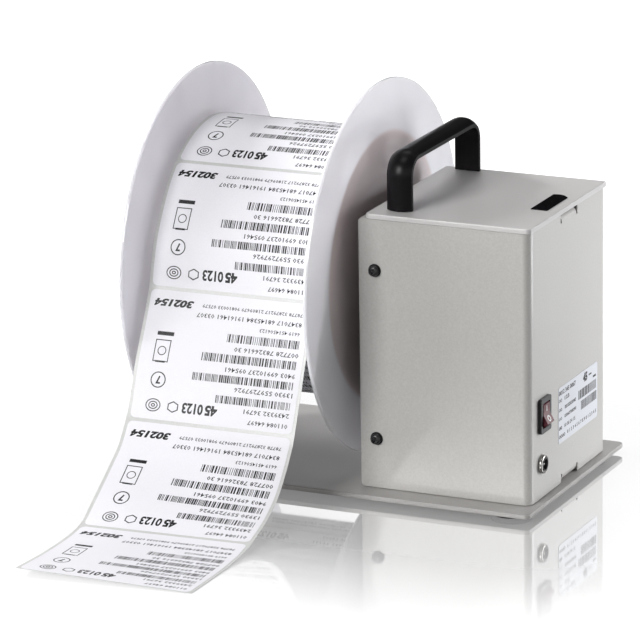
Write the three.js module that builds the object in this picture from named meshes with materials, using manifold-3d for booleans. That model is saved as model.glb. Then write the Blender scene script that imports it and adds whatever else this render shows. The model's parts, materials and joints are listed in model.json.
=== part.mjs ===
import * as THREE from 'three';
import { mergeVertices } from 'three/addons/utils/BufferGeometryUtils.js';
import Module from 'manifold-3d';

// A label rewinder. A geared motor in a folded sheet steel housing turns a spindle, and the
// spindle's two acrylic flanges guide a web of labels as it winds up on a paper core.
// Millimetres. +X runs along the spindle from the reel to the housing, +Y to the back, +Z up.
// The origin is on the underside of the base plate, straight below the spindle's axis, in the
// plane of the housing wall that faces the reel.

const wasm = await Module();
wasm.setup();

// Clearances and cuts
const GAP = 0.3;
const OVERRUN = 1;
const RUNNING_GAP = 0.35;

// Housing
const HOUSING_WIDTH = 105;
const HOUSING_DEPTH = 117;
const HOUSING_HEIGHT = 160;
const COVER_SHEET = 1.2;
const COVER_BEND = 4.8;
const COVER_FREE_CORNER = 2;
const FRAME_SHEET = 2;
const FRAME_FLANGE = 32;
const FRAME_SIDE_FLANGE = 16;
const FRAME_BEND = 1.5;
const LID_HEIGHT = 3;
const LID_SHEET = 1.5;
const LID_CORNER = 3;
const LID_BACK_CORNER = 1.5;
const LID_EDGE = 1;
const LID_LEDGE = 4.3;
const LID_PROUD = 0.6;

// Folded tabs that hold the cover at the base and under the lid
const TAB_WIDTH = 22.3;
const TAB_LENGTH = 13;
const TAB_CENTRE_Y = 1.5;
const TAB_BEND = 4.8;
const TAB_SLIT = 1.6;
const TAB_SLIT_RISE = 0.3;

// Base plate and feet
const BASE_SHEET = 3;
const BASE_EDGE = 0.8;
const BASE_CORNER = 3.5;
const BASE_RIGHT_OVERHANG = 5;
const BASE_FRONT_OVERHANG = 14.4;
const BASE_BACK_OVERHANG = 18.2;
const BASE_REEL_LENGTH = 132;
const FOOT_RADIUS = 12;
const FOOT_HEIGHT = 3;
const FOOT_TAPER = 1.2;
const FOOT_INSET = 18;

// Carrying handle
const HANDLE_X = 21;
const HANDLE_CENTRE_Y = 2.9;
const HANDLE_SPAN = 102;
const HANDLE_RISE = 28.7;
const HANDLE_WIDTH = 15.4;
const HANDLE_SIDE = 2.2;
const HANDLE_CROWN = 3.3;
const HANDLE_BEND = 9;
const HANDLE_THREAD_DEPTH = 9;

// Reel
const SPINDLE_HEIGHT = 119.5;
const FLANGE_RADIUS = 109.5;
const FLANGE_SHEET = 2.3;
const INNER_FLANGE_FACE = 11.8;
const OUTER_FLANGE_FACE = 125.2;
const WEB_WIDTH = 104;
const WEB_START = 16;
const ROLL_RADIUS = 79;
const CORE_BORE_RADIUS = 19.05;
const CORE_WALL = 3.35;
const MANDREL_WALL = 2.75;
const MANDREL_END = 150;
const MANDREL_WEB = 18;
const SHOULDER_RIM = 5;
const SHOULDER_SHEET = 4;
const MANDREL_BOSS_RADIUS = 11;
const MANDREL_BOSS_END = 1.5;
const CAP_HEAD = 3;
const CAP_PLUG = 8;
const CAP_DOME = 1.2;
const HUB_FLANGE = 4;
const HUB_LENGTH = 18.2;
const HUB_NECK_WALL = 8;
const HUB_FILLET = 1.5;

// The outer wrap and the hanging tail of the web
const TAIL_SHEET = 0.45;
const TAIL_FLOOR_GAP = 0.3;
const TAIL_WRAP_START = 60;
const TAIL_WRAP_END = 145;
const TAIL_WRAP_STEPS = 9;

// Drive
const SHAFT_RADIUS = 6;
const SHAFT_REACH = 14;
const BEARING_RADIUS = 14;
const BEARING_WIDTH = 8;
const BEARING_LIP = 1.5;
const BOSS_RADIUS = 18.5;
const BOSS_FLANGE_RADIUS = 26;
const BOSS_FLANGE_SHEET = 3;
const DRIVE_PLATE_SHEET = 2;
const DRIVE_PLATE_CORNER = 6;
const DRIVE_PLATE_MARGIN = 13;
const DRIVE_PLATE_TOP_GAP = 4.5;
const SPACER_RADIUS = 4;
const SPACER_INSET = 6.5;
const GEAR_MODULE = 1;
const GEAR_TEETH = 60;
const PINION_TEETH = 20;
const GEAR_FACE = 8;
const PINION_FACE = 10;
const GEAR_STANDOFF = 8;
const GEAR_HUB_RADIUS = 12;
const GEAR_HUB_LENGTH = 3.5;
const GEAR_RIM = 4;
const GEAR_RECESS = 2;
const GEAR_BACKLASH = 0.2;
const PINION_DROP_SHARE = 0.8;
const OUTPUT_SHAFT_RADIUS = 3;
const OUTPUT_SHAFT_REACH = 22;
const GEARBOX_RADIUS = 18.5;
const GEARBOX_LENGTH = 20;
const GEARBOX_BOSS_RADIUS = 6;
const GEARBOX_OFFSET = 7;
const MOTOR_RADIUS = 16.5;
const MOTOR_LENGTH = 26;
const MOTOR_FLAT = 15;
const MOTOR_END_RADIUS = 6;
const MOTOR_END_LENGTH = 2;
const MOTOR_CLEARANCE = 1.2;

// Control board
const BOARD_SHEET = 1.6;
const BOARD_FRAME_GAP = 4;
const BOARD_DEPTH = 64;
const BOARD_CLEARANCE = 15.8;
const BOARD_FRONT = 14;
const RAIL_HEIGHT = 6;
const RAIL_WIDTH = 8;
const CAPACITOR_RADIUS = 5;
const CAPACITOR_HEIGHT = 16;
const CAPACITOR_GROOVE = 0.5;
const TERMINAL_LENGTH = 20;
const TERMINAL_DEPTH = 8;
const TERMINAL_HEIGHT = 10;
const TERMINAL_WAYS = 4;
const TERMINAL_MOUTH = 2.6;

// Switch, socket, badge and rating label on the housing
const SWITCH_Y = -39;
const SWITCH_Z = 52.8;
const SWITCH_WIDTH = 15;
const SWITCH_HEIGHT = 20.4;
const SWITCH_PROUD = 2.2;
const SWITCH_CORNER = 1.2;
const SWITCH_OPENING_WIDTH = 10.4;
const SWITCH_OPENING_HEIGHT = 15;
const SWITCH_BODY_WIDTH = 12.8;
const SWITCH_BODY_HEIGHT = 18.4;
const SWITCH_BODY_DEPTH = 17;
const SWITCH_BODY_FLOOR = 4;
const ROCKER_RADIUS = 7.2;
const ROCKER_NECK = 3.1;
const ROCKER_BACK = 4;
const ROCKER_TILT = 14;
const SOCKET_Y = -41.3;
const SOCKET_Z = 23.8;
const SOCKET_NUT_RADIUS = 5.5;
const SOCKET_NUT_SHEET = 2;
const SOCKET_THREAD_RADIUS = 4;
const SOCKET_THREAD_PROUD = 2.6;
const SOCKET_BORE_RADIUS = 3.1;
const SOCKET_PIN_RADIUS = 1;
const SOCKET_BODY_RADIUS = 5.2;
const SOCKET_BODY_LENGTH = 9;
const SOCKET_DEPTH = 10;
const BADGE_INSET = 11;
const BADGE_WIDTH = 10.2;
const BADGE_LENGTH = 34.6;
const BADGE_SHEET = 0.5;
const BADGE_BULGE = 3.4;
const LABEL_SHEET = 0.25;
const RATING_Y = 14.6;
const RATING_WIDTH = 61;
const RATING_HEIGHT = 33.6;
const RATING_LOW = 27.6;
const RATING_CORNER = 2;

// Fasteners
const M3_RADIUS = 1.5;
const M3_HEAD_RADIUS = 3.1;
const M3_HEAD_HEIGHT = 2.4;
const M3_SMALL_HEAD_RADIUS = 2.8;
const M3_WASHER_RADIUS = 3.9;
const M3_WASHER_SHEET = 1.2;
const M4_RADIUS = 2;
const M4_HEAD_RADIUS = 3.8;
const M4_HEAD_HEIGHT = 2.2;
const M3_LOW_HEAD_HEIGHT = 1.7;
const COVER_SCREW_X = 10;
const COVER_SCREW_INSET = 30;
const COVER_SCREW_LENGTH = 7;
const FLANGE_SCREW_INSET = 6.25;
const FLANGE_SCREW_COUNT = 3;
const FRAME_SCREW_X = 16;
const FRAME_SCREW_Y = 42;
const LOCK_SCREW_RADIUS = 2.5;
const LOCK_SCREW_INSET = 6.2;
const LOCK_KNOB_RADIUS = 7.5;
const LOCK_KNOB_HEIGHT = 10;
const LOCK_KNOB_RIBS = 18;
const LOCK_KNOB_RIB = 0.5;

// Places that follow from the sizes
const HALF_DEPTH = HOUSING_DEPTH / 2;
const BASE_TOP = BASE_SHEET;
const BADGE_X = HOUSING_WIDTH - BADGE_INSET;
const HOUSING_BOTTOM = BASE_TOP + GAP;
const HOUSING_TOP = BASE_TOP + HOUSING_HEIGHT;
const LID_TOP = HOUSING_TOP + GAP + LID_HEIGHT;
const FLOOR = -FOOT_HEIGHT;
const FRAME_HALF_DEPTH = HALF_DEPTH - COVER_SHEET - GAP;
const BORE_RADIUS = SHAFT_RADIUS + GAP;
const BOSS_BACK = FRAME_SHEET + GAP;
const BOSS_END = BOSS_BACK + BOSS_FLANGE_SHEET + BEARING_WIDTH + GAP;
const MOTOR_END = HOUSING_WIDTH - COVER_SHEET - MOTOR_CLEARANCE - MOTOR_END_LENGTH;
const MOTOR_X = MOTOR_END - MOTOR_LENGTH;
const GEARBOX_X = MOTOR_X - GAP - GEARBOX_LENGTH;
const DRIVE_PLATE_FACE = GEARBOX_X - GAP;
const DRIVE_PLATE_X = DRIVE_PLATE_FACE - DRIVE_PLATE_SHEET;
const GEAR_X = DRIVE_PLATE_X - GEAR_STANDOFF - GEAR_FACE;
const SHAFT_END = DRIVE_PLATE_X + SHAFT_REACH;
const GEAR_PITCH_RADIUS = GEAR_MODULE * GEAR_TEETH / 2;
const PINION_PITCH_RADIUS = GEAR_MODULE * PINION_TEETH / 2;
const GEAR_CENTRES = GEAR_PITCH_RADIUS + PINION_PITCH_RADIUS;
const PINION_DROP = GEAR_CENTRES * PINION_DROP_SHARE;
const PINION_Y = Math.sqrt(GEAR_CENTRES ** 2 - PINION_DROP ** 2);
const PINION_Z = SPINDLE_HEIGHT - PINION_DROP;
const PINION_ANGLE = Math.atan2(-PINION_DROP, PINION_Y);
const DRIVE_PLATE_FRONT = GEAR_PITCH_RADIUS + GEAR_MODULE + DRIVE_PLATE_MARGIN;
const DRIVE_PLATE_BACK = PINION_Y + PINION_PITCH_RADIUS + GEAR_MODULE + DRIVE_PLATE_MARGIN;
const DRIVE_PLATE_LOW = PINION_DROP + PINION_PITCH_RADIUS + GEAR_MODULE + DRIVE_PLATE_MARGIN;
const DRIVE_PLATE_HIGH = HOUSING_TOP - FRAME_SHEET - DRIVE_PLATE_TOP_GAP - SPINDLE_HEIGHT;
const GEARBOX_Z = PINION_Z - GEARBOX_OFFSET;
const CORE_RADIUS = CORE_BORE_RADIUS + CORE_WALL;
const MANDREL_RADIUS = CORE_BORE_RADIUS - GAP;
const MANDREL_BORE_RADIUS = MANDREL_RADIUS - MANDREL_WALL;
const FLANGE_SCREW_CIRCLE = MANDREL_RADIUS + FLANGE_SCREW_INSET;
const SHOULDER_RADIUS = FLANGE_SCREW_CIRCLE + SHOULDER_RIM;
const HUB_NECK_RADIUS = CORE_BORE_RADIUS + HUB_NECK_WALL;
const WEB_END = WEB_START + WEB_WIDTH;
const HUB_FACE = OUTER_FLANGE_FACE + FLANGE_SHEET + GAP;
const SWITCH_FRONT = HOUSING_WIDTH + SWITCH_PROUD;
const ROCKER_AXIS_X = SWITCH_FRONT + GAP - ROCKER_NECK;
const RAIL_TOP = BASE_TOP + RAIL_HEIGHT;
const BOARD_TOP = RAIL_TOP + BOARD_SHEET;
const BOARD_RIGHT = HOUSING_WIDTH - COVER_SHEET - BOARD_CLEARANCE;
const BOARD_LENGTH = BOARD_RIGHT - FRAME_FLANGE - BOARD_FRAME_GAP;

// How finely round things are cut
const FINE = 96;
const ROUND = 32;
const SMALL = 12;
const CORNER = 3;

// Unit axes, and the turns that lay a drawn profile across X or Y
const X = new THREE.Vector3(1, 0, 0);
const Y = new THREE.Vector3(0, 1, 0);
const Z = new THREE.Vector3(0, 0, 1);
const ACROSS_X = new THREE.Matrix4().makeBasis(Y, Z, X);
const ACROSS_Y = new THREE.Matrix4().makeBasis(X, Z, Y.clone().negate());

// Materials
function finish(color, roughness, metalness = 0) {
  return new THREE.MeshStandardMaterial({ color, roughness, metalness });
}
const PAINT = finish(0xc4c2bf, 0.5);
const LID_PAINT = finish(0xbbb9b7, 0.35);
const BLACK = finish(0x161617, 0.35);
const ACRYLIC = finish(0xdadae2, 0.25);
const PAPER = finish(0xe4e3e8, 0.6);
const KRAFT = finish(0xa98d68, 0.9);
const CHROME = finish(0xc8c8c8, 0.15, 1);
const STEEL = finish(0x9a9c9e, 0.35, 1);
const BLACK_STEEL = finish(0x222224, 0.4, 0.6);
const ALUMINIUM = finish(0xb9bcc0, 0.35, 1);
const ACETAL = finish(0xe8e6dc, 0.5);
const RUBBER = finish(0x2a2a2a, 0.9);
const ROCKER_RED = finish(0x7a2028, 0.25);
const DARK_PLASTIC = finish(0x3a3b3f, 0.4);
const BOARD_GREEN = finish(0x1f5a3a, 0.5);

// Turns a closed geometry into a solid, with its shared corners merged.
function solid(geometry) {
  const bare = geometry.clone();
  bare.deleteAttribute('normal');
  bare.deleteAttribute('uv');
  const merged = mergeVertices(bare);
  const place = merged.attributes.position;
  const index = merged.index.array;
  const faces = [];
  let volume = 0;
  const corner = [new THREE.Vector3(), new THREE.Vector3(), new THREE.Vector3()];
  for (let i = 0; i < index.length; i += 3) {
    const face = [index[i], index[i + 1], index[i + 2]];
    const collapsed = face[0] === face[1] || face[1] === face[2] || face[2] === face[0];
    if (collapsed) continue;
    face.forEach((vertex, k) => corner[k].fromBufferAttribute(place, vertex));
    volume += corner[0].dot(corner[1].clone().cross(corner[2]));
    faces.push(face);
  }
  if (volume < 0) faces.forEach((face) => face.reverse());
  return new wasm.Manifold(new wasm.Mesh({
    numProp: 3,
    vertProperties: new Float32Array(place.array),
    triVerts: new Uint32Array(faces.flat()),
  }));
}

function geometryOf(body) {
  const mesh = body.getMesh();
  const geometry = new THREE.BufferGeometry();
  geometry.setAttribute('position', new THREE.BufferAttribute(mesh.vertProperties, 3));
  geometry.setIndex(new THREE.BufferAttribute(mesh.triVerts, 1));
  geometry.computeVertexNormals();
  return geometry;
}

function place(parent, name, body, material) {
  const mesh = new THREE.Mesh(geometryOf(body), material);
  mesh.name = name;
  parent.add(mesh);
  return mesh;
}

// Shapes that every piece is made from
function box(low, high) {
  const size = high.map((value, k) => value - low[k]);
  const geometry = new THREE.BoxGeometry(...size);
  geometry.translate(...low.map((value, k) => value + size[k] / 2));
  return solid(geometry);
}

function rodX(radius, from, to, y = 0, z = 0, sides = ROUND) {
  const geometry = new THREE.CylinderGeometry(radius, radius, to - from, sides);
  geometry.rotateZ(-Math.PI / 2);
  geometry.translate((from + to) / 2, y, z);
  return solid(geometry);
}

function rodY(radius, from, to, x, z, sides = SMALL) {
  const geometry = new THREE.CylinderGeometry(radius, radius, to - from, sides);
  geometry.translate(x, (from + to) / 2, z);
  return solid(geometry);
}

function rodZ(radius, from, to, x, y, sides = SMALL) {
  const geometry = new THREE.CylinderGeometry(radius, radius, to - from, sides);
  geometry.rotateX(Math.PI / 2);
  geometry.translate(x, y, (from + to) / 2);
  return solid(geometry);
}

// A profile of [distance along the axis, radius] turned round X.
function turned(profile, sides = ROUND) {
  const points = profile.map(([along, radius]) => new THREE.Vector2(radius, along));
  const open = points[0].x > 0;
  if (open) points.push(points[0].clone());
  const geometry = new THREE.LatheGeometry(points, sides);
  geometry.rotateZ(-Math.PI / 2);
  return geometry;
}

function prismX(shape, from, to, curveSegments = CORNER) {
  const geometry = new THREE.ExtrudeGeometry(shape, { depth: to - from, bevelEnabled: false, curveSegments });
  geometry.applyMatrix4(ACROSS_X);
  geometry.translate(from, 0, 0);
  return solid(geometry);
}

function prismY(shape, from, to, curveSegments = CORNER) {
  const geometry = new THREE.ExtrudeGeometry(shape, { depth: to - from, bevelEnabled: false, curveSegments });
  geometry.applyMatrix4(ACROSS_Y);
  geometry.translate(0, to, 0);
  return solid(geometry);
}

function prismZ(shape, from, to, curveSegments = CORNER) {
  const geometry = new THREE.ExtrudeGeometry(shape, { depth: to - from, bevelEnabled: false, curveSegments });
  geometry.translate(0, 0, from);
  return solid(geometry);
}

// A plate that stands on z = 0 and has a rounded edge on both faces.
function softPlate(shape, thickness, edge) {
  const geometry = new THREE.ExtrudeGeometry(shape, {
    depth: thickness - 2 * edge,
    bevelEnabled: true,
    bevelThickness: edge,
    bevelSize: edge,
    bevelOffset: -edge,
    bevelSegments: 2,
    curveSegments: CORNER + 1,
  });
  geometry.translate(0, 0, edge);
  return geometry;
}

function rect(left, low, right, high) {
  const corners = [[left, low], [right, low], [right, high], [left, high]];
  return new THREE.Shape(corners.map((corner) => new THREE.Vector2(...corner)));
}

// A skin over rings of equally many points, closed by a flat end on the first and last ring.
function loft(rings) {
  const count = rings[0].length;
  const faces = [];
  for (let row = 0; row < rings.length - 1; row += 1) {
    for (let k = 0; k < count; k += 1) {
      const here = row * count + k;
      const beside = row * count + (k + 1) % count;
      faces.push(here, beside, beside + count, here, beside + count, here + count);
    }
  }
  const last = (rings.length - 1) * count;
  for (let k = 1; k < count - 1; k += 1) {
    faces.push(0, k + 1, k, last, last + k, last + k + 1);
  }
  const geometry = new THREE.BufferGeometry();
  geometry.setAttribute('position', new THREE.BufferAttribute(new Float32Array(rings.flat(2)), 3));
  geometry.setIndex(faces);
  return solid(geometry);
}

function roundedRect(left, low, right, high, radius, highRadius = radius) {
  const shape = new THREE.Shape();
  shape.moveTo(left + radius, low);
  shape.lineTo(right - radius, low);
  shape.absarc(right - radius, low + radius, radius, -Math.PI / 2, 0);
  shape.lineTo(right, high - highRadius);
  shape.absarc(right - highRadius, high - highRadius, highRadius, 0, Math.PI / 2);
  shape.lineTo(left + highRadius, high);
  shape.absarc(left + highRadius, high - highRadius, highRadius, Math.PI / 2, Math.PI);
  shape.lineTo(left, low + radius);
  shape.absarc(left + radius, low + radius, radius, Math.PI, 1.5 * Math.PI);
  return shape;
}

// A screw that points along +X from its seat at the origin, its head on the side of -X.
function screw(radius, headRadius, headHeight, length, washerRadius = 0, washerSheet = 0) {
  const crown = headHeight / 4;
  const profile = [[-washerSheet - headHeight, 0], [-washerSheet - headHeight + crown / 2, headRadius * 0.6],
    [-washerSheet - headHeight + 2 * crown, headRadius], [-washerSheet, headRadius]];
  if (washerSheet > 0) profile.push([-washerSheet, washerRadius], [0, washerRadius]);
  else profile.push([0, headRadius]);
  profile[profile.length - 1][0] = 0;
  profile.push([0, radius], [length, radius], [length, 0]);
  return turned(profile, SMALL);
}

function placed(geometry, x, y, z) {
  geometry.translate(x, y, z);
  return solid(geometry);
}

// Base plate and feet
function basePlate() {
  const shape = roundedRect(-BASE_REEL_LENGTH, -HALF_DEPTH - BASE_FRONT_OVERHANG,
    HOUSING_WIDTH + BASE_RIGHT_OVERHANG, HALF_DEPTH + BASE_BACK_OVERHANG, BASE_CORNER);
  let plate = solid(softPlate(shape, BASE_TOP, BASE_EDGE));
  for (const y of [-FRAME_SCREW_Y, FRAME_SCREW_Y]) {
    plate = plate.subtract(rodZ(M4_RADIUS + GAP, -OVERRUN, BASE_TOP + OVERRUN, FRAME_SCREW_X, y));
  }
  const tabHole = rodZ(M3_RADIUS + GAP, -OVERRUN, BASE_TOP + OVERRUN, tabScrewX(), TAB_CENTRE_Y);
  return plate.subtract(tabHole);
}

function tabScrewX() {
  return HOUSING_WIDTH - TAB_LENGTH + M3_HEAD_RADIUS;
}

function foot() {
  const geometry = turned([[0, 0], [0, FOOT_RADIUS - FOOT_TAPER],
    [FOOT_HEIGHT, FOOT_RADIUS], [FOOT_HEIGHT, 0]], ROUND);
  geometry.rotateY(-Math.PI / 2);
  return geometry;
}

function addFeet(parent) {
  const right = HOUSING_WIDTH + BASE_RIGHT_OVERHANG - FOOT_INSET;
  const left = FOOT_INSET - BASE_REEL_LENGTH;
  const front = FOOT_INSET - HALF_DEPTH - BASE_FRONT_OVERHANG;
  const rear = HALF_DEPTH + BASE_BACK_OVERHANG - FOOT_INSET;
  for (const [name, x, y] of [['foot_front_left', left, front], ['foot_front_right', right, front],
    ['foot_rear_left', left, rear], ['foot_rear_right', right, rear]]) {
    place(parent, name, placed(foot(), x, y, FLOOR), RUBBER);
  }
}

// The wall that carries the drive: a pan with a flange folded in along each of its four sides.
// Its top and bottom flanges are deeper than the other two, for the handle and the base screws.
function wallFrame() {
  const half = FRAME_HALF_DEPTH;
  const block = softPlate(rect(-half, HOUSING_BOTTOM, half, HOUSING_TOP), 2 * FRAME_FLANGE, FRAME_BEND);
  block.applyMatrix4(ACROSS_X);
  let pan = solid(block);
  pan = pan.subtract(box([FRAME_SHEET, -half + FRAME_SHEET, HOUSING_BOTTOM + FRAME_SHEET],
    [FRAME_FLANGE + OVERRUN, half - FRAME_SHEET, HOUSING_TOP - FRAME_SHEET]));
  pan = pan.subtract(box([FRAME_FLANGE, -HALF_DEPTH, 0],
    [2 * FRAME_FLANGE + OVERRUN, HALF_DEPTH, HOUSING_TOP + OVERRUN]));
  pan = pan.subtract(box([FRAME_SIDE_FLANGE, -HALF_DEPTH, HOUSING_BOTTOM + FRAME_SHEET],
    [FRAME_FLANGE + OVERRUN, HALF_DEPTH, HOUSING_TOP - FRAME_SHEET]));
  pan = pan.subtract(rodX(MANDREL_BOSS_RADIUS + OVERRUN, -OVERRUN, FRAME_SHEET + OVERRUN, 0, SPINDLE_HEIGHT));
  for (const y of [-FRAME_SCREW_Y, FRAME_SCREW_Y]) {
    const low = HOUSING_BOTTOM - OVERRUN;
    pan = pan.subtract(rodZ(M4_RADIUS + GAP, low, HOUSING_BOTTOM + FRAME_SHEET + OVERRUN, FRAME_SCREW_X, y));
  }
  for (const y of handleLegs()) {
    const low = HOUSING_TOP - FRAME_SHEET - OVERRUN;
    pan = pan.subtract(rodZ(M3_RADIUS + GAP, low, HOUSING_TOP + OVERRUN, HANDLE_X, y));
  }
  return pan.subtract(coverScrewHoles());
}

// The cover's front, right and rear sides, folded from one sheet.
function coverSheet() {
  const inside = COVER_BEND - COVER_SHEET;
  const shape = new THREE.Shape();
  shape.moveTo(0, -HALF_DEPTH);
  shape.lineTo(HOUSING_WIDTH - COVER_BEND, -HALF_DEPTH);
  shape.absarc(HOUSING_WIDTH - COVER_BEND, -HALF_DEPTH + COVER_BEND, COVER_BEND, -Math.PI / 2, 0);
  shape.lineTo(HOUSING_WIDTH, HALF_DEPTH - COVER_BEND);
  shape.absarc(HOUSING_WIDTH - COVER_BEND, HALF_DEPTH - COVER_BEND, COVER_BEND, 0, Math.PI / 2);
  shape.lineTo(0, HALF_DEPTH);
  shape.lineTo(0, HALF_DEPTH - COVER_SHEET);
  shape.lineTo(HOUSING_WIDTH - COVER_BEND, HALF_DEPTH - COVER_SHEET);
  shape.absarc(HOUSING_WIDTH - COVER_BEND, HALF_DEPTH - COVER_BEND, inside, Math.PI / 2, 0, true);
  shape.lineTo(HOUSING_WIDTH - COVER_SHEET, -HALF_DEPTH + COVER_BEND);
  shape.absarc(HOUSING_WIDTH - COVER_BEND, -HALF_DEPTH + COVER_BEND, inside, 0, -Math.PI / 2, true);
  shape.lineTo(0, -HALF_DEPTH + COVER_SHEET);
  return prismZ(shape, HOUSING_BOTTOM, HOUSING_TOP, 2 * CORNER);
}

// A tab folded inwards from the cover's right side: its outline across Y, at the bottom edge.
function tabProfile() {
  const bendX = HOUSING_WIDTH - TAB_BEND;
  const bendZ = HOUSING_BOTTOM + TAB_BEND;
  const shape = new THREE.Shape();
  shape.moveTo(HOUSING_WIDTH - TAB_LENGTH, HOUSING_BOTTOM);
  shape.lineTo(bendX, HOUSING_BOTTOM);
  shape.absarc(bendX, bendZ, TAB_BEND, -Math.PI / 2, 0);
  shape.lineTo(HOUSING_WIDTH, bendZ + TAB_SLIT_RISE + OVERRUN);
  shape.lineTo(HOUSING_WIDTH - COVER_SHEET, bendZ + TAB_SLIT_RISE + OVERRUN);
  shape.lineTo(HOUSING_WIDTH - COVER_SHEET, bendZ);
  shape.absarc(bendX, bendZ, TAB_BEND - COVER_SHEET, 0, -Math.PI / 2, true);
  shape.lineTo(HOUSING_WIDTH - TAB_LENGTH, HOUSING_BOTTOM + COVER_SHEET);
  return shape;
}

function tabGeometry() {
  const geometry = new THREE.ExtrudeGeometry(tabProfile(), {
    depth: TAB_WIDTH,
    bevelEnabled: false,
    curveSegments: 2 * CORNER,
  });
  geometry.applyMatrix4(ACROSS_Y);
  geometry.translate(0, TAB_CENTRE_Y + TAB_WIDTH / 2, 0);
  return geometry;
}

// The waste outside a rounded free corner of the cover, at a height, across both of its sides.
function coverCornerWaste(edgeZ, inwards) {
  const centreZ = edgeZ + inwards * COVER_FREE_CORNER;
  const reach = HALF_DEPTH + OVERRUN;
  const waste = box([-OVERRUN, -reach, Math.min(centreZ, edgeZ - inwards * OVERRUN)],
    [COVER_FREE_CORNER, reach, Math.max(centreZ, edgeZ - inwards * OVERRUN)]);
  return waste.subtract(rodY(COVER_FREE_CORNER, -reach - OVERRUN, reach + OVERRUN, COVER_FREE_CORNER,
    centreZ, 2 * SMALL));
}

function cover() {
  const half = TAB_WIDTH / 2 + TAB_SLIT;
  const rise = TAB_BEND + TAB_SLIT_RISE;
  const lowTab = tabGeometry();
  const highTab = lowTab.clone().scale(1, 1, -1).translate(0, 0, HOUSING_BOTTOM + HOUSING_TOP);
  let sheet = coverSheet();
  sheet = sheet.subtract(coverCornerWaste(HOUSING_BOTTOM, 1)).subtract(coverCornerWaste(HOUSING_TOP, -1));
  for (const [low, high] of [[HOUSING_BOTTOM - OVERRUN, HOUSING_BOTTOM + rise],
    [HOUSING_TOP - rise, HOUSING_TOP + OVERRUN]]) {
    sheet = sheet.subtract(box([HOUSING_WIDTH - TAB_LENGTH, TAB_CENTRE_Y - half, low],
      [HOUSING_WIDTH + OVERRUN, TAB_CENTRE_Y + half, high]));
  }
  const tabHole = rodZ(M3_RADIUS + GAP, 0, HOUSING_BOTTOM + COVER_SHEET + OVERRUN, tabScrewX(), TAB_CENTRE_Y);
  sheet = sheet.add(solid(lowTab)).add(solid(highTab)).subtract(tabHole).subtract(coverScrewHoles());
  const slotHalfY = SWITCH_BODY_WIDTH / 2 + GAP;
  const slotHalfZ = SWITCH_BODY_HEIGHT / 2 + GAP;
  sheet = sheet.subtract(box([HOUSING_WIDTH - COVER_SHEET - OVERRUN, SWITCH_Y - slotHalfY, SWITCH_Z - slotHalfZ],
    [HOUSING_WIDTH + OVERRUN, SWITCH_Y + slotHalfY, SWITCH_Z + slotHalfZ]));
  return sheet.subtract(rodX(SOCKET_THREAD_RADIUS + GAP, HOUSING_WIDTH - COVER_SHEET - OVERRUN,
    HOUSING_WIDTH + OVERRUN, SOCKET_Y, SOCKET_Z, 2 * SMALL));
}

// Cover screws, two at the front and two at the rear
function coverScrewPlaces() {
  const low = BASE_TOP + COVER_SCREW_INSET;
  const high = HOUSING_TOP - COVER_SCREW_INSET;
  return [['front_upper', -1, high], ['front_lower', -1, low], ['rear_upper', 1, high], ['rear_lower', 1, low]];
}

function coverScrewHoles() {
  const holes = coverScrewPlaces().map(([, side, z]) => {
    const inner = side * (FRAME_HALF_DEPTH - FRAME_SHEET - OVERRUN);
    const outer = side * (HALF_DEPTH + OVERRUN);
    return rodY(M3_RADIUS + GAP, Math.min(inner, outer), Math.max(inner, outer), COVER_SCREW_X, z);
  });
  return holes.reduce((all, hole) => all.add(hole));
}

function addCoverScrews(parent) {
  for (const [name, side, z] of coverScrewPlaces()) {
    const geometry = screw(M3_RADIUS, M3_HEAD_RADIUS, M3_HEAD_HEIGHT, COVER_SCREW_LENGTH,
      M3_WASHER_RADIUS, M3_WASHER_SHEET);
    geometry.rotateZ(-side * Math.PI / 2);
    const body = placed(geometry, COVER_SCREW_X, side * HALF_DEPTH, z);
    place(parent, `cover_screw_${name}`, body, BLACK_STEEL);
  }
}

// Screws from below that hold the wall frame and the cover's tab to the base plate
function addBaseScrews(parent) {
  const frameLength = BASE_SHEET + GAP + FRAME_SHEET + M4_HEAD_HEIGHT;
  for (const [name, y] of [['frame_screw_front', -FRAME_SCREW_Y], ['frame_screw_rear', FRAME_SCREW_Y]]) {
    const geometry = screw(M4_RADIUS, M4_HEAD_RADIUS, M4_HEAD_HEIGHT, frameLength);
    geometry.rotateY(-Math.PI / 2);
    place(parent, name, placed(geometry, FRAME_SCREW_X, y, 0), BLACK_STEEL);
  }
  const tabLength = BASE_SHEET + GAP + COVER_SHEET + M3_HEAD_HEIGHT;
  const geometry = screw(M3_RADIUS, M3_HEAD_RADIUS, M3_LOW_HEAD_HEIGHT, tabLength);
  geometry.rotateY(-Math.PI / 2);
  place(parent, 'cover_tab_screw', placed(geometry, tabScrewX(), TAB_CENTRE_Y, 0), BLACK_STEEL);
}

// The lid: a shallow pan that stands back from the reel side, so that the wall's edge shows.
function lid() {
  const reach = HALF_DEPTH + LID_PROUD;
  const right = HOUSING_WIDTH + LID_PROUD;
  const bottom = HOUSING_TOP + GAP;
  const outer = roundedRect(LID_LEDGE, -reach, right, reach, LID_CORNER, LID_BACK_CORNER);
  const block = solid(softPlate(outer, 2 * LID_HEIGHT, LID_EDGE).translate(0, 0, LID_TOP - 2 * LID_HEIGHT));
  const below = box([0, -reach - OVERRUN, LID_TOP - 2 * LID_HEIGHT - OVERRUN],
    [right + OVERRUN, reach + OVERRUN, bottom]);
  const pocket = roundedRect(LID_LEDGE + LID_SHEET, -reach + LID_SHEET, right - LID_SHEET,
    reach - LID_SHEET, LID_CORNER - LID_SHEET);
  let pan = block.subtract(below).subtract(prismZ(pocket, bottom - OVERRUN, LID_TOP - LID_SHEET));
  for (const y of handleLegs()) {
    pan = pan.subtract(rodZ(M3_RADIUS + GAP, bottom, LID_TOP + OVERRUN, HANDLE_X, y));
  }
  return pan;
}

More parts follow.
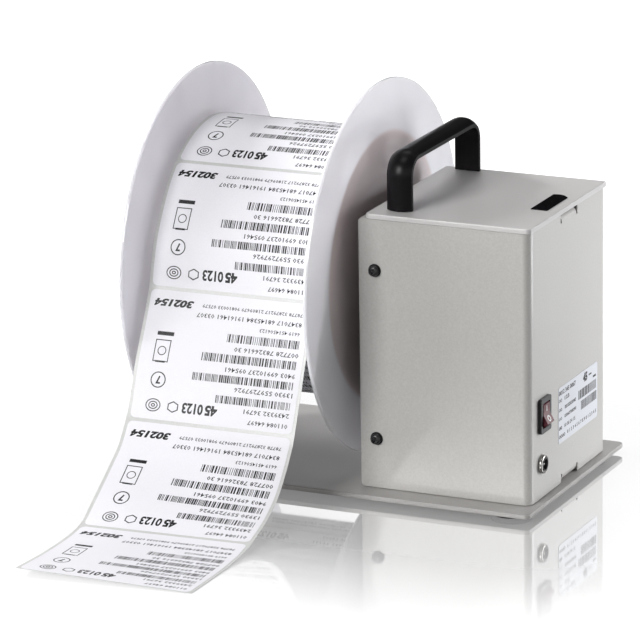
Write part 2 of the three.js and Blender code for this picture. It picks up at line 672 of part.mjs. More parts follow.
// Carrying handle: a strap with a flat inner face and a crowned outer face, bent into an arch.
function handleLegs() {
  return [HANDLE_CENTRE_Y - HANDLE_SPAN / 2, HANDLE_CENTRE_Y + HANDLE_SPAN / 2];
}

// The strap's section as [across, outwards], its flat face inwards.
function strapSection() {
  const half = HANDLE_WIDTH / 2;
  const crownRadius = (half ** 2 + HANDLE_CROWN ** 2) / (2 * HANDLE_CROWN);
  const spread = Math.asin(half / crownRadius);
  const middle = (HANDLE_SIDE + HANDLE_CROWN) / 2;
  const centre = HANDLE_SIDE - middle + HANDLE_CROWN - crownRadius;
  const section = [[-half, -middle], [half, -middle]];
  const steps = 4 * CORNER;
  for (let i = 0; i <= steps; i += 1) {
    const angle = spread * (1 - 2 * i / steps);
    section.push([crownRadius * Math.sin(angle), centre + crownRadius * Math.cos(angle)]);
  }
  return section;
}

function handle() {
  const [front, rear] = handleLegs();
  const thickness = HANDLE_SIDE + HANDLE_CROWN;
  const low = LID_TOP + GAP;
  const bend = HANDLE_BEND + thickness / 2;
  const bendZ = LID_TOP + HANDLE_RISE + thickness / 2 - bend;
  const stations = [[front, low, Math.PI]];
  const steps = 3 * CORNER;
  for (let i = 0; i <= steps; i += 1) {
    const turn = Math.PI * (1 - i / (2 * steps));
    stations.push([front + bend + bend * Math.cos(turn), bendZ + bend * Math.sin(turn), turn]);
  }
  for (let i = 0; i <= steps; i += 1) {
    const turn = Math.PI / 2 * (1 - i / steps);
    stations.push([rear - bend + bend * Math.cos(turn), bendZ + bend * Math.sin(turn), turn]);
  }
  stations.push([rear, low, 0]);
  const rings = stations.map(([y, z, turn]) => strapSection().map(([across, outwards]) => [
    HANDLE_X + across, y + outwards * Math.cos(turn), z + outwards * Math.sin(turn)]));
  let strap = loft(rings);
  for (const y of [front, rear]) {
    strap = strap.subtract(rodZ(M3_RADIUS + GAP, low - OVERRUN, low + HANDLE_THREAD_DEPTH, HANDLE_X, y));
  }
  return strap;
}

function addHandleScrews(parent) {
  const seat = HOUSING_TOP - FRAME_SHEET;
  const length = LID_TOP + HANDLE_THREAD_DEPTH - seat - M3_RADIUS;
  const [front, rear] = handleLegs();
  for (const [name, y] of [['handle_screw_front', front], ['handle_screw_rear', rear]]) {
    const geometry = screw(M3_RADIUS, M3_SMALL_HEAD_RADIUS, M3_HEAD_HEIGHT, length);
    geometry.rotateY(-Math.PI / 2);
    place(parent, name, placed(geometry, HANDLE_X, y, seat), BLACK_STEEL);
  }
}

// Badge on the lid, with one bulged end, and the rating label on the right side
function badge() {
  const left = BADGE_X - BADGE_WIDTH / 2;
  const right = BADGE_X + BADGE_WIDTH / 2;
  const shape = new THREE.Shape();
  shape.moveTo(left, -BADGE_LENGTH / 2);
  shape.lineTo(right, -BADGE_LENGTH / 2);
  shape.lineTo(right, BADGE_LENGTH / 2 - BADGE_BULGE);
  shape.quadraticCurveTo(BADGE_X, BADGE_LENGTH / 2 + BADGE_BULGE, left, BADGE_LENGTH / 2);
  return prismZ(shape, LID_TOP, LID_TOP + BADGE_SHEET, 2 * CORNER);
}

function ratingLabel() {
  const shape = roundedRect(RATING_Y - RATING_WIDTH / 2, RATING_LOW, RATING_Y + RATING_WIDTH / 2,
    RATING_LOW + RATING_HEIGHT, RATING_CORNER);
  return prismX(shape, HOUSING_WIDTH, HOUSING_WIDTH + LABEL_SHEET);
}

// Switch and socket
function switchBezel() {
  const halfY = SWITCH_WIDTH / 2;
  const halfZ = SWITCH_HEIGHT / 2;
  const frame = prismX(roundedRect(SWITCH_Y - halfY, SWITCH_Z - halfZ, SWITCH_Y + halfY, SWITCH_Z + halfZ,
    SWITCH_CORNER), HOUSING_WIDTH, SWITCH_FRONT);
  const back = HOUSING_WIDTH - SWITCH_BODY_DEPTH;
  const body = box([back, SWITCH_Y - SWITCH_BODY_WIDTH / 2, SWITCH_Z - SWITCH_BODY_HEIGHT / 2],
    [HOUSING_WIDTH + OVERRUN, SWITCH_Y + SWITCH_BODY_WIDTH / 2, SWITCH_Z + SWITCH_BODY_HEIGHT / 2]);
  const opening = box([back + SWITCH_BODY_FLOOR, SWITCH_Y - SWITCH_OPENING_WIDTH / 2,
    SWITCH_Z - SWITCH_OPENING_HEIGHT / 2], [SWITCH_FRONT + OVERRUN, SWITCH_Y + SWITCH_OPENING_WIDTH / 2,
    SWITCH_Z + SWITCH_OPENING_HEIGHT / 2]);
  return frame.add(body).subtract(opening);
}

// The rocker's side view round its pivot: two faces meet in a shallow V, and both ends are
// arcs round the pivot, so that they clear the opening at every angle.
function rocker() {
  const tilt = THREE.MathUtils.degToRad(ROCKER_TILT);
  const run = Math.sqrt(ROCKER_RADIUS ** 2 - (ROCKER_NECK * Math.cos(tilt)) ** 2) - ROCKER_NECK * Math.sin(tilt);
  const tipX = ROCKER_NECK + run * Math.sin(tilt);
  const tipZ = run * Math.cos(tilt);
  const tipAngle = Math.atan2(tipZ, tipX);
  const shape = new THREE.Shape();
  shape.moveTo(ROCKER_NECK, 0);
  shape.lineTo(tipX, tipZ);
  shape.absarc(0, 0, ROCKER_RADIUS, tipAngle, Math.PI / 2);
  shape.lineTo(-ROCKER_BACK, ROCKER_BACK / 2);
  shape.lineTo(-ROCKER_BACK, -ROCKER_BACK / 2);
  shape.lineTo(0, -ROCKER_RADIUS);
  shape.absarc(0, 0, ROCKER_RADIUS, -Math.PI / 2, -tipAngle);
  const half = SWITCH_OPENING_WIDTH / 2 - GAP;
  const geometry = new THREE.ExtrudeGeometry(shape, { depth: 2 * half, bevelEnabled: false, curveSegments: CORNER });
  geometry.applyMatrix4(ACROSS_Y);
  geometry.translate(0, half, 0);
  geometry.rotateY(-tilt);
  return placed(geometry, ROCKER_AXIS_X, SWITCH_Y, SWITCH_Z);
}

function socket() {
  const inside = HOUSING_WIDTH - COVER_SHEET - GAP;
  const mouth = HOUSING_WIDTH + SOCKET_THREAD_PROUD;
  const floor = mouth - SOCKET_DEPTH;
  const back = inside - SOCKET_BODY_LENGTH;
  const geometry = turned([[back, 0], [back, SOCKET_BODY_RADIUS], [inside, SOCKET_BODY_RADIUS],
    [inside, SOCKET_THREAD_RADIUS], [mouth, SOCKET_THREAD_RADIUS], [mouth, SOCKET_BORE_RADIUS],
    [floor, SOCKET_BORE_RADIUS], [floor, SOCKET_PIN_RADIUS], [mouth - SOCKET_PIN_RADIUS, SOCKET_PIN_RADIUS],
    [mouth - SOCKET_PIN_RADIUS, 0]], 2 * SMALL);
  return placed(geometry, 0, SOCKET_Y, SOCKET_Z);
}

function socketNut() {
  const back = HOUSING_WIDTH + GAP;
  const front = back + SOCKET_NUT_SHEET;
  const bore = SOCKET_THREAD_RADIUS + GAP;
  const chamfer = SOCKET_NUT_SHEET / 4;
  const geometry = turned([[back, bore], [back, SOCKET_NUT_RADIUS], [front - chamfer, SOCKET_NUT_RADIUS],
    [front, SOCKET_NUT_RADIUS - chamfer], [front, bore]], 2 * SMALL);
  return placed(geometry, 0, SOCKET_Y, SOCKET_Z);
}

// Spur gears
function involutePoint(base, roll) {
  return [base * (Math.cos(roll) + roll * Math.sin(roll)), base * (Math.sin(roll) - roll * Math.cos(roll))];
}

// One flank as [radius, angle from the tooth's middle], from the root to the tip.
function flank(teeth, steps) {
  const pressure = THREE.MathUtils.degToRad(20);
  const pitch = GEAR_MODULE * teeth / 2;
  const base = pitch * Math.cos(pressure);
  const tip = pitch + GEAR_MODULE;
  const root = pitch - 1.25 * GEAR_MODULE;
  const halfTooth = (Math.PI * GEAR_MODULE / 2 - GEAR_BACKLASH) / (2 * pitch);
  const atPitch = Math.tan(pressure) - pressure;
  const start = Math.max(base, root);
  const points = [[root, halfTooth + atPitch]];
  for (let i = 0; i <= steps; i += 1) {
    const radius = start + (tip - start) * i / steps;
    const roll = Math.sqrt((radius / base) ** 2 - 1);
    const [x, y] = involutePoint(base, roll);
    points.push([radius, halfTooth + atPitch - Math.atan2(y, x)]);
  }
  if (root >= base) points.shift();
  return points;
}

function gearShape(teeth, turn) {
  const side = flank(teeth, 2);
  const shape = new THREE.Shape();
  for (let tooth = 0; tooth < teeth; tooth += 1) {
    const middle = turn + 2 * Math.PI * tooth / teeth;
    const rising = side.map(([radius, angle]) => [radius, middle - angle]);
    const falling = side.map(([radius, angle]) => [radius, middle + angle]).reverse();
    for (const [radius, angle] of [...rising, ...falling]) {
      const point = [radius * Math.cos(angle), radius * Math.sin(angle)];
      if (shape.curves.length === 0 && shape.currentPoint.lengthSq() === 0) shape.moveTo(...point);
      else shape.lineTo(...point);
    }
  }
  return shape;
}

function driveGear() {
  const disc = prismX(gearShape(GEAR_TEETH, PINION_ANGLE), GEAR_X, GEAR_X + GEAR_FACE);
  const hub = rodX(GEAR_HUB_RADIUS, GEAR_X, GEAR_X + GEAR_FACE + GEAR_HUB_LENGTH);
  const rim = GEAR_PITCH_RADIUS - 1.25 * GEAR_MODULE - GEAR_RIM;
  const recess = (from, to) => rodX(rim, from, to).subtract(rodX(GEAR_HUB_RADIUS, from - OVERRUN, to + OVERRUN));
  const near = recess(GEAR_X - OVERRUN, GEAR_X + GEAR_RECESS);
  const far = recess(GEAR_X + GEAR_FACE - GEAR_RECESS, GEAR_X + GEAR_FACE + OVERRUN);
  const bore = rodX(BORE_RADIUS, GEAR_X - OVERRUN, GEAR_X + GEAR_FACE + GEAR_HUB_LENGTH + OVERRUN);
  return disc.add(hub).subtract(near).subtract(far).subtract(bore);
}

function drivePinion() {
  const from = GEAR_X + (GEAR_FACE - PINION_FACE) / 2;
  const turn = PINION_ANGLE + Math.PI - Math.PI / PINION_TEETH;
  const wheel = prismX(gearShape(PINION_TEETH, turn), from, from + PINION_FACE);
  const bore = rodX(OUTPUT_SHAFT_RADIUS + GAP, from - OVERRUN, from + PINION_FACE + OVERRUN, 0, 0, SMALL);
  return wheel.subtract(bore);
}

// Bearings and the plate that carries the motor
function bearingRing(from, to) {
  return solid(turned([[from, BORE_RADIUS], [from, BEARING_RADIUS], [to, BEARING_RADIUS], [to, BORE_RADIUS]]));
}

function bearingBoss() {
  const seat = BEARING_RADIUS + GAP;
  const mouth = MANDREL_BOSS_RADIUS + OVERRUN;
  const floor = BOSS_BACK + BOSS_FLANGE_SHEET;
  const profile = [[BOSS_BACK, mouth], [BOSS_BACK, BOSS_FLANGE_RADIUS], [floor, BOSS_FLANGE_RADIUS],
    [floor, BOSS_RADIUS], [BOSS_END, BOSS_RADIUS], [BOSS_END, seat], [floor, seat], [floor, mouth]];
  return solid(turned(profile));
}

function innerBearing() {
  const lip = DRIVE_PLATE_FACE + GAP;
  const from = lip + BEARING_LIP - BEARING_WIDTH;
  const profile = [[from, BORE_RADIUS], [from, BEARING_RADIUS], [lip, BEARING_RADIUS],
    [lip, BEARING_RADIUS + BEARING_LIP], [lip + BEARING_LIP, BEARING_RADIUS + BEARING_LIP],
    [lip + BEARING_LIP, BORE_RADIUS]];
  return solid(turned(profile));
}

function spacerPlaces() {
  const front = -DRIVE_PLATE_FRONT + SPACER_INSET;
  const rear = DRIVE_PLATE_BACK - SPACER_INSET;
  const low = SPINDLE_HEIGHT - DRIVE_PLATE_LOW + SPACER_INSET;
  const high = SPINDLE_HEIGHT + DRIVE_PLATE_HIGH - SPACER_INSET;
  return [['front_upper', front, high], ['front_lower', front, low], ['rear_upper', rear, high],
    ['rear_lower', rear, low]];
}

function drivePlate() {
  const shape = roundedRect(-DRIVE_PLATE_FRONT, SPINDLE_HEIGHT - DRIVE_PLATE_LOW, DRIVE_PLATE_BACK,
    SPINDLE_HEIGHT + DRIVE_PLATE_HIGH, DRIVE_PLATE_CORNER);
  const plate = prismX(shape, DRIVE_PLATE_X, DRIVE_PLATE_FACE);
  const from = DRIVE_PLATE_X - OVERRUN;
  const to = DRIVE_PLATE_FACE + OVERRUN;
  const bearing = rodX(BEARING_RADIUS + GAP, from, to, 0, SPINDLE_HEIGHT);
  return plate.subtract(bearing).subtract(rodX(GEARBOX_BOSS_RADIUS + GAP, from, to, PINION_Y, PINION_Z));
}

// Geared motor: an offset output shaft, a round gearbox and a can with two flats
function gearbox() {
  const can = rodX(GEARBOX_RADIUS, GEARBOX_X, GEARBOX_X + GEARBOX_LENGTH, PINION_Y, GEARBOX_Z);
  const boss = rodX(GEARBOX_BOSS_RADIUS, DRIVE_PLATE_X - GAP, GEARBOX_X + OVERRUN, PINION_Y, PINION_Z);
  const bore = rodX(OUTPUT_SHAFT_RADIUS + GAP, DRIVE_PLATE_X - OVERRUN, GEARBOX_X + GEARBOX_BOSS_RADIUS,
    PINION_Y, PINION_Z, SMALL);
  return can.add(boss).subtract(bore);
}

function motor() {
  const end = MOTOR_END;
  const can = rodX(MOTOR_RADIUS, MOTOR_X, end, PINION_Y, GEARBOX_Z);
  const flats = box([MOTOR_X - OVERRUN, PINION_Y - MOTOR_RADIUS - OVERRUN, GEARBOX_Z - MOTOR_FLAT],
    [end + OVERRUN, PINION_Y + MOTOR_RADIUS + OVERRUN, GEARBOX_Z + MOTOR_FLAT]);
  const cap = rodX(MOTOR_END_RADIUS, end - OVERRUN, end + MOTOR_END_LENGTH, PINION_Y, GEARBOX_Z, SMALL);
  return can.intersect(flats).add(cap);
}

// Control board on two rails
function boardRail(x) {
  const front = -BOARD_FRONT + RAIL_WIDTH;
  const rear = -BOARD_FRONT + BOARD_DEPTH - RAIL_WIDTH;
  const shape = new THREE.Shape();
  shape.moveTo(x, BASE_TOP);
  shape.lineTo(x + RAIL_WIDTH, BASE_TOP);
  shape.lineTo(x + RAIL_WIDTH, BASE_TOP + BOARD_SHEET);
  shape.lineTo(x + BOARD_SHEET, BASE_TOP + BOARD_SHEET);
  shape.lineTo(x + BOARD_SHEET, RAIL_TOP - BOARD_SHEET);
  shape.lineTo(x + RAIL_WIDTH, RAIL_TOP - BOARD_SHEET);
  shape.lineTo(x + RAIL_WIDTH, RAIL_TOP);
  shape.lineTo(x, RAIL_TOP);
  return prismY(shape, front, rear);
}

function controlBoard() {
  const left = BOARD_RIGHT - BOARD_LENGTH;
  return box([left, -BOARD_FRONT, RAIL_TOP], [BOARD_RIGHT, -BOARD_FRONT + BOARD_DEPTH, BOARD_TOP]);
}

function capacitor() {
  const groove = CAPACITOR_RADIUS - CAPACITOR_GROOVE;
  const neck = CAPACITOR_HEIGHT / 6;
  const geometry = turned([[0, 0], [0, CAPACITOR_RADIUS], [neck, CAPACITOR_RADIUS],
    [neck + CAPACITOR_GROOVE, groove], [neck + 2 * CAPACITOR_GROOVE, CAPACITOR_RADIUS],
    [CAPACITOR_HEIGHT, CAPACITOR_RADIUS], [CAPACITOR_HEIGHT, 0]], SMALL);
  geometry.rotateY(-Math.PI / 2);
  const x = BOARD_RIGHT - BOARD_LENGTH + RAIL_WIDTH + CAPACITOR_RADIUS;
  return placed(geometry, x, BOARD_DEPTH - BOARD_FRONT - RAIL_WIDTH - CAPACITOR_RADIUS, BOARD_TOP);
}

function terminalBlock() {
  const right = BOARD_RIGHT - OVERRUN;
  const low = BOARD_TOP;
  const middle = BOARD_DEPTH / 2 - BOARD_FRONT;
  let block = box([right - TERMINAL_DEPTH, middle - TERMINAL_LENGTH / 2, low],
    [right, middle + TERMINAL_LENGTH / 2, low + TERMINAL_HEIGHT]);
  const pitch = TERMINAL_LENGTH / TERMINAL_WAYS;
  for (let way = 0; way < TERMINAL_WAYS; way += 1) {
    const y = middle - TERMINAL_LENGTH / 2 + pitch * (way + 0.5);
    const half = TERMINAL_MOUTH / 2;
    const centre = low + TERMINAL_HEIGHT / 3;
    const mouth = box([right - TERMINAL_DEPTH / 2, y - half, centre - half],
      [right + OVERRUN, y + half, centre + half]);
    const well = rodZ(half, low + TERMINAL_HEIGHT - OVERRUN, low + TERMINAL_HEIGHT + OVERRUN,
      right - TERMINAL_DEPTH / 2, y, SMALL / 2);
    block = block.subtract(mouth).subtract(well);
  }
  return block;
}

// Reel pieces, drawn round the X axis; their group stands them at the spindle's height.
function flangeDisc(from) {
  const bore = CORE_BORE_RADIUS;
  const to = from + FLANGE_SHEET;
  const profile = [[from, bore], [from, FLANGE_RADIUS], [to, FLANGE_RADIUS], [to, bore]];
  let disc = solid(turned(profile, FINE));
  for (const [y, z] of flangeScrewPlaces()) {
    disc = disc.subtract(rodX(M3_RADIUS + GAP, from - OVERRUN, to + OVERRUN, y, z, SMALL));
  }
  return disc;
}

function flangeScrewPlaces() {
  const places = [];
  for (let i = 0; i < FLANGE_SCREW_COUNT; i += 1) {
    const angle = Math.PI / 2 + 2 * Math.PI * (i + 0.5) / FLANGE_SCREW_COUNT;
    places.push([FLANGE_SCREW_CIRCLE * Math.cos(angle), FLANGE_SCREW_CIRCLE * Math.sin(angle)]);
  }
  return places;
}

function mandrel() {
  const face = -INNER_FLANGE_FACE + FLANGE_SHEET + GAP;
  const back = face + SHOULDER_SHEET;
  const floor = -INNER_FLANGE_FACE - MANDREL_WEB;
  const profile = [[-MANDREL_END, MANDREL_BORE_RADIUS], [-MANDREL_END, MANDREL_RADIUS], [face, MANDREL_RADIUS],
    [face, SHOULDER_RADIUS], [back, SHOULDER_RADIUS], [back, MANDREL_BOSS_RADIUS],
    [-MANDREL_BOSS_END, MANDREL_BOSS_RADIUS], [-MANDREL_BOSS_END, BORE_RADIUS], [floor, BORE_RADIUS],
    [floor, MANDREL_BORE_RADIUS]];
  let body = solid(turned(profile));
  for (const [y, z] of flangeScrewPlaces()) {
    body = body.subtract(rodX(M3_RADIUS + GAP, face - OVERRUN, back + OVERRUN, y, z, SMALL));
  }
  return body;
}

function mandrelCap() {
  const seat = -MANDREL_END - GAP;
  const end = seat - CAP_HEAD;
  const plug = MANDREL_BORE_RADIUS - GAP;
  const profile = [[end, 0], [end, MANDREL_RADIUS - CAP_DOME], [end + CAP_DOME, MANDREL_RADIUS],
    [seat, MANDREL_RADIUS], [seat, plug], [seat + CAP_PLUG, plug], [seat + CAP_PLUG, 0]];
  return solid(turned(profile));
}

function spindleShaft() {
  const start = -INNER_FLANGE_FACE - MANDREL_WEB + GAP;
  const chamfer = GAP;
  const profile = [[start, 0], [start, SHAFT_RADIUS - chamfer], [start + chamfer, SHAFT_RADIUS],
    [SHAFT_END - chamfer, SHAFT_RADIUS], [SHAFT_END, SHAFT_RADIUS - chamfer], [SHAFT_END, 0]];
  return solid(turned(profile));
}

function ring(inner, outer, from, to, sides = FINE) {
  return solid(turned([[from, inner], [from, outer], [to, outer], [to, inner]], sides));
}

function outerHub() {
  const right = -HUB_FACE;
  const step = right - HUB_FLANGE;
  const left = right - HUB_LENGTH;
  const profile = [[left, CORE_BORE_RADIUS], [left, HUB_NECK_RADIUS - HUB_FILLET],
    [left + HUB_FILLET, HUB_NECK_RADIUS], [step, HUB_NECK_RADIUS], [step, SHOULDER_RADIUS],
    [right, SHOULDER_RADIUS], [right, CORE_BORE_RADIUS]];
  let hub = solid(turned(profile));
  const tap = rodZ(LOCK_SCREW_RADIUS + GAP, 0, SHOULDER_RADIUS + OVERRUN, left + LOCK_SCREW_INSET, 0);
  hub = hub.subtract(tap);
  for (const [y, z] of flangeScrewPlaces()) {
    hub = hub.subtract(rodX(M3_RADIUS + GAP, step, right + OVERRUN, y, z, SMALL));
  }
  return hub;
}

function knurled(x, radius, ribs, rib) {
  const shape = new THREE.Shape();
  const steps = 2 * ribs;
  for (let i = 0; i < steps; i += 1) {
    const reach = i % 2 === 0 ? radius : radius - rib;
    const angle = 2 * Math.PI * i / steps;
    if (i === 0) shape.moveTo(x + reach, 0);
    else shape.lineTo(x + reach * Math.cos(angle), reach * Math.sin(angle));
  }
  return shape;
}

function lockScrew() {
  const x = -HUB_FACE - HUB_LENGTH + LOCK_SCREW_INSET;
  const tip = MANDREL_RADIUS + GAP;
  const seat = HUB_NECK_RADIUS + OVERRUN;
  const shank = rodZ(LOCK_SCREW_RADIUS, tip, seat + OVERRUN, x, 0);
  const outline = knurled(x, LOCK_KNOB_RADIUS, LOCK_KNOB_RIBS, LOCK_KNOB_RIB);
  return shank.add(prismZ(outline, seat, seat + LOCK_KNOB_HEIGHT));
}

// The web: an outer wrap that hugs the roll, then a tail that hangs to the floor and runs out
// forwards. Its two edges follow slightly different curves, because the paper twists as it
// lands. Shares of the wrap's radius forwards, and of the spindle's height above the floor.
const LEFT_EDGE_SHARES = [[0.915, 1.276], [0.984, 1.193], [1.042, 1.081], [1.084, 0.979], [1.187, 0.836],
  [1.328, 0.665], [1.439, 0.489], [1.506, 0.411], [1.635, 0.305], [1.792, 0.233], [1.941, 0.169],
  [2.103, 0.101], [2.251, 0.045], [2.422, 0.025], [2.652, 0.02], [2.893, 0.021], [3.162, 0.029],
  [3.243, 0.031]];
const RIGHT_EDGE_SHARES = [[0.915, 1.276], [0.977, 1.184], [1.027, 1.061], [1.077, 0.947], [1.224, 0.735],
  [1.336, 0.567], [1.451, 0.394], [1.51, 0.333], [1.59, 0.264], [1.705, 0.184], [1.827, 0.127],
  [1.984, 0.079], [2.239, 0.026], [2.457, 0.007], [2.71, 0], [2.93, 0], [3.142, 0]];

function tailEdge(hangShares) {
  const hug = ROLL_RADIUS + RUNNING_GAP;
  const low = FLOOR + TAIL_FLOOR_GAP;
  const height = SPINDLE_HEIGHT - low;
  const points = [];
  for (let i = 0; i <= TAIL_WRAP_STEPS; i += 1) {
    const turn = TAIL_WRAP_START + (TAIL_WRAP_END - TAIL_WRAP_START) * i / TAIL_WRAP_STEPS;
    const angle = THREE.MathUtils.degToRad(turn);
    points.push(new THREE.Vector2(hug * Math.cos(angle), SPINDLE_HEIGHT + hug * Math.sin(angle)));
  }
  for (const [outShare, upShare] of hangShares) {
    points.push(new THREE.Vector2(-hug * outShare, low + height * upShare));
  }
  return new THREE.SplineCurve(points);
}

function labelTail() {
  const rows = [[tailEdge(LEFT_EDGE_SHARES), -WEB_END], [tailEdge(RIGHT_EDGE_SHARES), -WEB_START]];
  const rings = [];
  for (let i = 0; i <= FINE; i += 1) {
    const [left, right] = rows.map(([edge, x]) => {
      const point = edge.getPointAt(i / FINE);
      const along = edge.getTangentAt(i / FINE);
      const under = [x, point.x, point.y];
      const over = [x, point.x + along.y * TAIL_SHEET, point.y - along.x * TAIL_SHEET];
      return [under, over];
    });
    rings.push([left[0], left[1], right[1], right[0]]);
  }
  return loft(rings);
}

// Assembly
const rewinder = new THREE.Group();

place(rewinder, 'base_plate', basePlate(), PAINT);
addFeet(rewinder);
addBaseScrews(rewinder);
place(rewinder, 'wall_frame', wallFrame(), PAINT);
place(rewinder, 'cover', cover(), PAINT);
addCoverScrews(rewinder);
place(rewinder, 'lid', lid(), LID_PAINT);
place(rewinder, 'handle', handle(), BLACK);
addHandleScrews(rewinder);
place(rewinder, 'badge', badge(), BLACK);
place(rewinder, 'rating_label', ratingLabel(), PAPER);
place(rewinder, 'switch_bezel', switchBezel(), DARK_PLASTIC);
place(rewinder, 'switch_rocker', rocker(), ROCKER_RED);
place(rewinder, 'power_socket', socket(), DARK_PLASTIC);
place(rewinder, 'socket_nut', socketNut(), CHROME);
place(rewinder, 'drive_plate', drivePlate(), STEEL);
for (const [name, y, z] of spacerPlaces()) {
  place(rewinder, `plate_spacer_${name}`, rodX(SPACER_RADIUS, FRAME_SHEET, DRIVE_PLATE_X, y, z, SMALL), STEEL);
}
place(rewinder, 'gearbox', gearbox(), STEEL);
place(rewinder, 'motor', motor(), STEEL);
place(rewinder, 'board_rail_left', boardRail(BOARD_RIGHT - BOARD_LENGTH + RAIL_WIDTH / 2), ALUMINIUM);
place(rewinder, 'board_rail_right', boardRail(BOARD_RIGHT - 1.5 * RAIL_WIDTH), ALUMINIUM);
place(rewinder, 'control_board', controlBoard(), BOARD_GREEN);
place(rewinder, 'board_capacitor', capacitor(), BLACK);
place(rewinder, 'terminal_block', terminalBlock(), BOARD_GREEN);
place(rewinder, 'label_tail', labelTail(), PAPER);

const spindleLine = new THREE.Group();
spindleLine.position.z = SPINDLE_HEIGHT;
rewinder.add(spindleLine);
place(spindleLine, 'bearing_boss', bearingBoss(), ALUMINIUM);
place(spindleLine, 'wall_bearing', bearingRing(BOSS_END - BEARING_WIDTH, BOSS_END), STEEL);
place(spindleLine, 'inner_bearing', innerBearing(), STEEL);

const reel = new THREE.Group();
spindleLine.add(reel);
place(reel, 'spindle_shaft', spindleShaft(), STEEL);
place(reel, 'drive_gear', driveGear(), ACETAL);
place(reel, 'mandrel', mandrel(), ALUMINIUM);
place(reel, 'mandrel_cap', mandrelCap(), BLACK);
place(reel, 'inner_flange', flangeDisc(-INNER_FLANGE_FACE), ACRYLIC);
place(reel, 'core', ring(CORE_BORE_RADIUS, CORE_RADIUS, -WEB_END, -WEB_START, ROUND), KRAFT);
place(reel, 'label_roll', ring(CORE_RADIUS + GAP, ROLL_RADIUS, -WEB_END, -WEB_START), PAPER);

const outerFlange = new THREE.Group();
reel.add(outerFlange);
place(outerFlange, 'outer_flange', flangeDisc(-OUTER_FLANGE_FACE - FLANGE_SHEET), ACRYLIC);
place(outerFlange, 'outer_hub', outerHub(), BLACK);
place(outerFlange, 'lock_screw', lockScrew(), BLACK);

flangeScrewPlaces().forEach(([y, z], i) => {
  const length = HUB_FLANGE + FLANGE_SHEET - GAP;
  const head = [M3_RADIUS, M3_HEAD_RADIUS, M3_LOW_HEAD_HEIGHT, length];
  const inner = screw(...head);
  place(reel, `inner_flange_screw_${i + 1}`, placed(inner, -INNER_FLANGE_FACE, y, z), STEEL);
  const outer = screw(...head);
  outer.rotateY(Math.PI);
  place(outerFlange, `outer_flange_screw_${i + 1}`, placed(outer, -OUTER_FLANGE_FACE, y, z), STEEL);
});

const pinionLine = new THREE.Group();
pinionLine.position.set(0, PINION_Y, PINION_Z);
rewinder.add(pinionLine);
const shaftTip = DRIVE_PLATE_X - OUTPUT_SHAFT_REACH;
place(pinionLine, 'output_shaft', rodX(OUTPUT_SHAFT_RADIUS, shaftTip, GEARBOX_X + GAP, 0, 0, SMALL), STEEL);
place(pinionLine, 'drive_pinion', drivePinion(), STEEL);

export default rewinder;
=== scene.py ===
# %% [markdown]
# A label rewinder winds a printed web of labels from a printer onto a cardboard core. The packed
# CAD model gives every piece its place, so this script only adds what the eye needs on top of it:
# rounded edges, real finishes, screws with their recesses, and labels with their print. Lengths
# are in metres. +X runs along the spindle from the reel to the housing, +Y to the back, +Z up.

import bisect
import json
import math
import random

import bmesh
import bpy
from mathutils import Matrix, Vector

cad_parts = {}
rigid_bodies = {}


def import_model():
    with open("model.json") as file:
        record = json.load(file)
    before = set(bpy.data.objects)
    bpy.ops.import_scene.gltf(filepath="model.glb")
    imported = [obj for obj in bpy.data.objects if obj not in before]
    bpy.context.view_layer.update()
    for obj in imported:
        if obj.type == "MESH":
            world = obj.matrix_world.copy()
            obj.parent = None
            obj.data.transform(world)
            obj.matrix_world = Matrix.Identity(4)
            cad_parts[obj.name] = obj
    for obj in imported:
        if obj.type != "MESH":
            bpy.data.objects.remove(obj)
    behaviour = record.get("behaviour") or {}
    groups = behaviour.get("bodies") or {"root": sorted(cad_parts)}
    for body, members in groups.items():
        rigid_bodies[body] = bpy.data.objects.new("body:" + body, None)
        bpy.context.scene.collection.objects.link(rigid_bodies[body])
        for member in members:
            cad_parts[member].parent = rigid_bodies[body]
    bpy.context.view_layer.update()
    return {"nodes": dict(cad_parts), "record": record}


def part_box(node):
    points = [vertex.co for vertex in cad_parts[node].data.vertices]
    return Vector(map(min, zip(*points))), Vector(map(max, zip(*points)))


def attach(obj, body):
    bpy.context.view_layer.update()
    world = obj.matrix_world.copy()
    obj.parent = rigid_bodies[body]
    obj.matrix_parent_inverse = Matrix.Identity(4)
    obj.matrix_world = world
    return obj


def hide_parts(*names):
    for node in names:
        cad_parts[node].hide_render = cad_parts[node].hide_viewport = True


MM = 0.001
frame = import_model()
nodes = frame["nodes"]
scene = bpy.context.scene
scene.view_settings.view_transform = "Standard"
print("CAD nodes:", len(nodes))

# %% [markdown]
# The camera comes first, because it decides which details matter. A long lens far away keeps the
# lines almost parallel, as in a catalogue picture. The camera is placed by its azimuth and height
# angle, then rolled a little, and its rotation matrix is built from those three directions.

# %% Camera
CAMERA_PLACE = Vector((1.0833, -2.4594, 0.8603))
CAMERA_LENS = 269.94
AZIMUTH = math.radians(24.7737)
ELEVATION = math.radians(16.0411)
ROLL = math.radians(-0.9047)


def add_object(name, data):
    made = bpy.data.objects.new(name, data)
    scene.collection.objects.link(made)
    return made


def add_camera():
    backwards = Vector((math.sin(AZIMUTH) * math.cos(ELEVATION),
                        -math.cos(AZIMUTH) * math.cos(ELEVATION), math.sin(ELEVATION)))
    sideways = Vector((math.cos(AZIMUTH), math.sin(AZIMUTH), 0))
    level = Matrix((sideways, backwards.cross(sideways), backwards)).transposed()
    turn = level @ Matrix.Rotation(ROLL, 3, "Z")
    data = bpy.data.cameras.new("camera")
    data.lens = CAMERA_LENS
    data.sensor_width = 36
    data.clip_end = 20
    camera = add_object("camera", data)
    camera.matrix_world = Matrix.Translation(CAMERA_PLACE) @ turn.to_4x4()
    scene.camera = camera


add_camera()
print("lens:", scene.camera.data.lens)

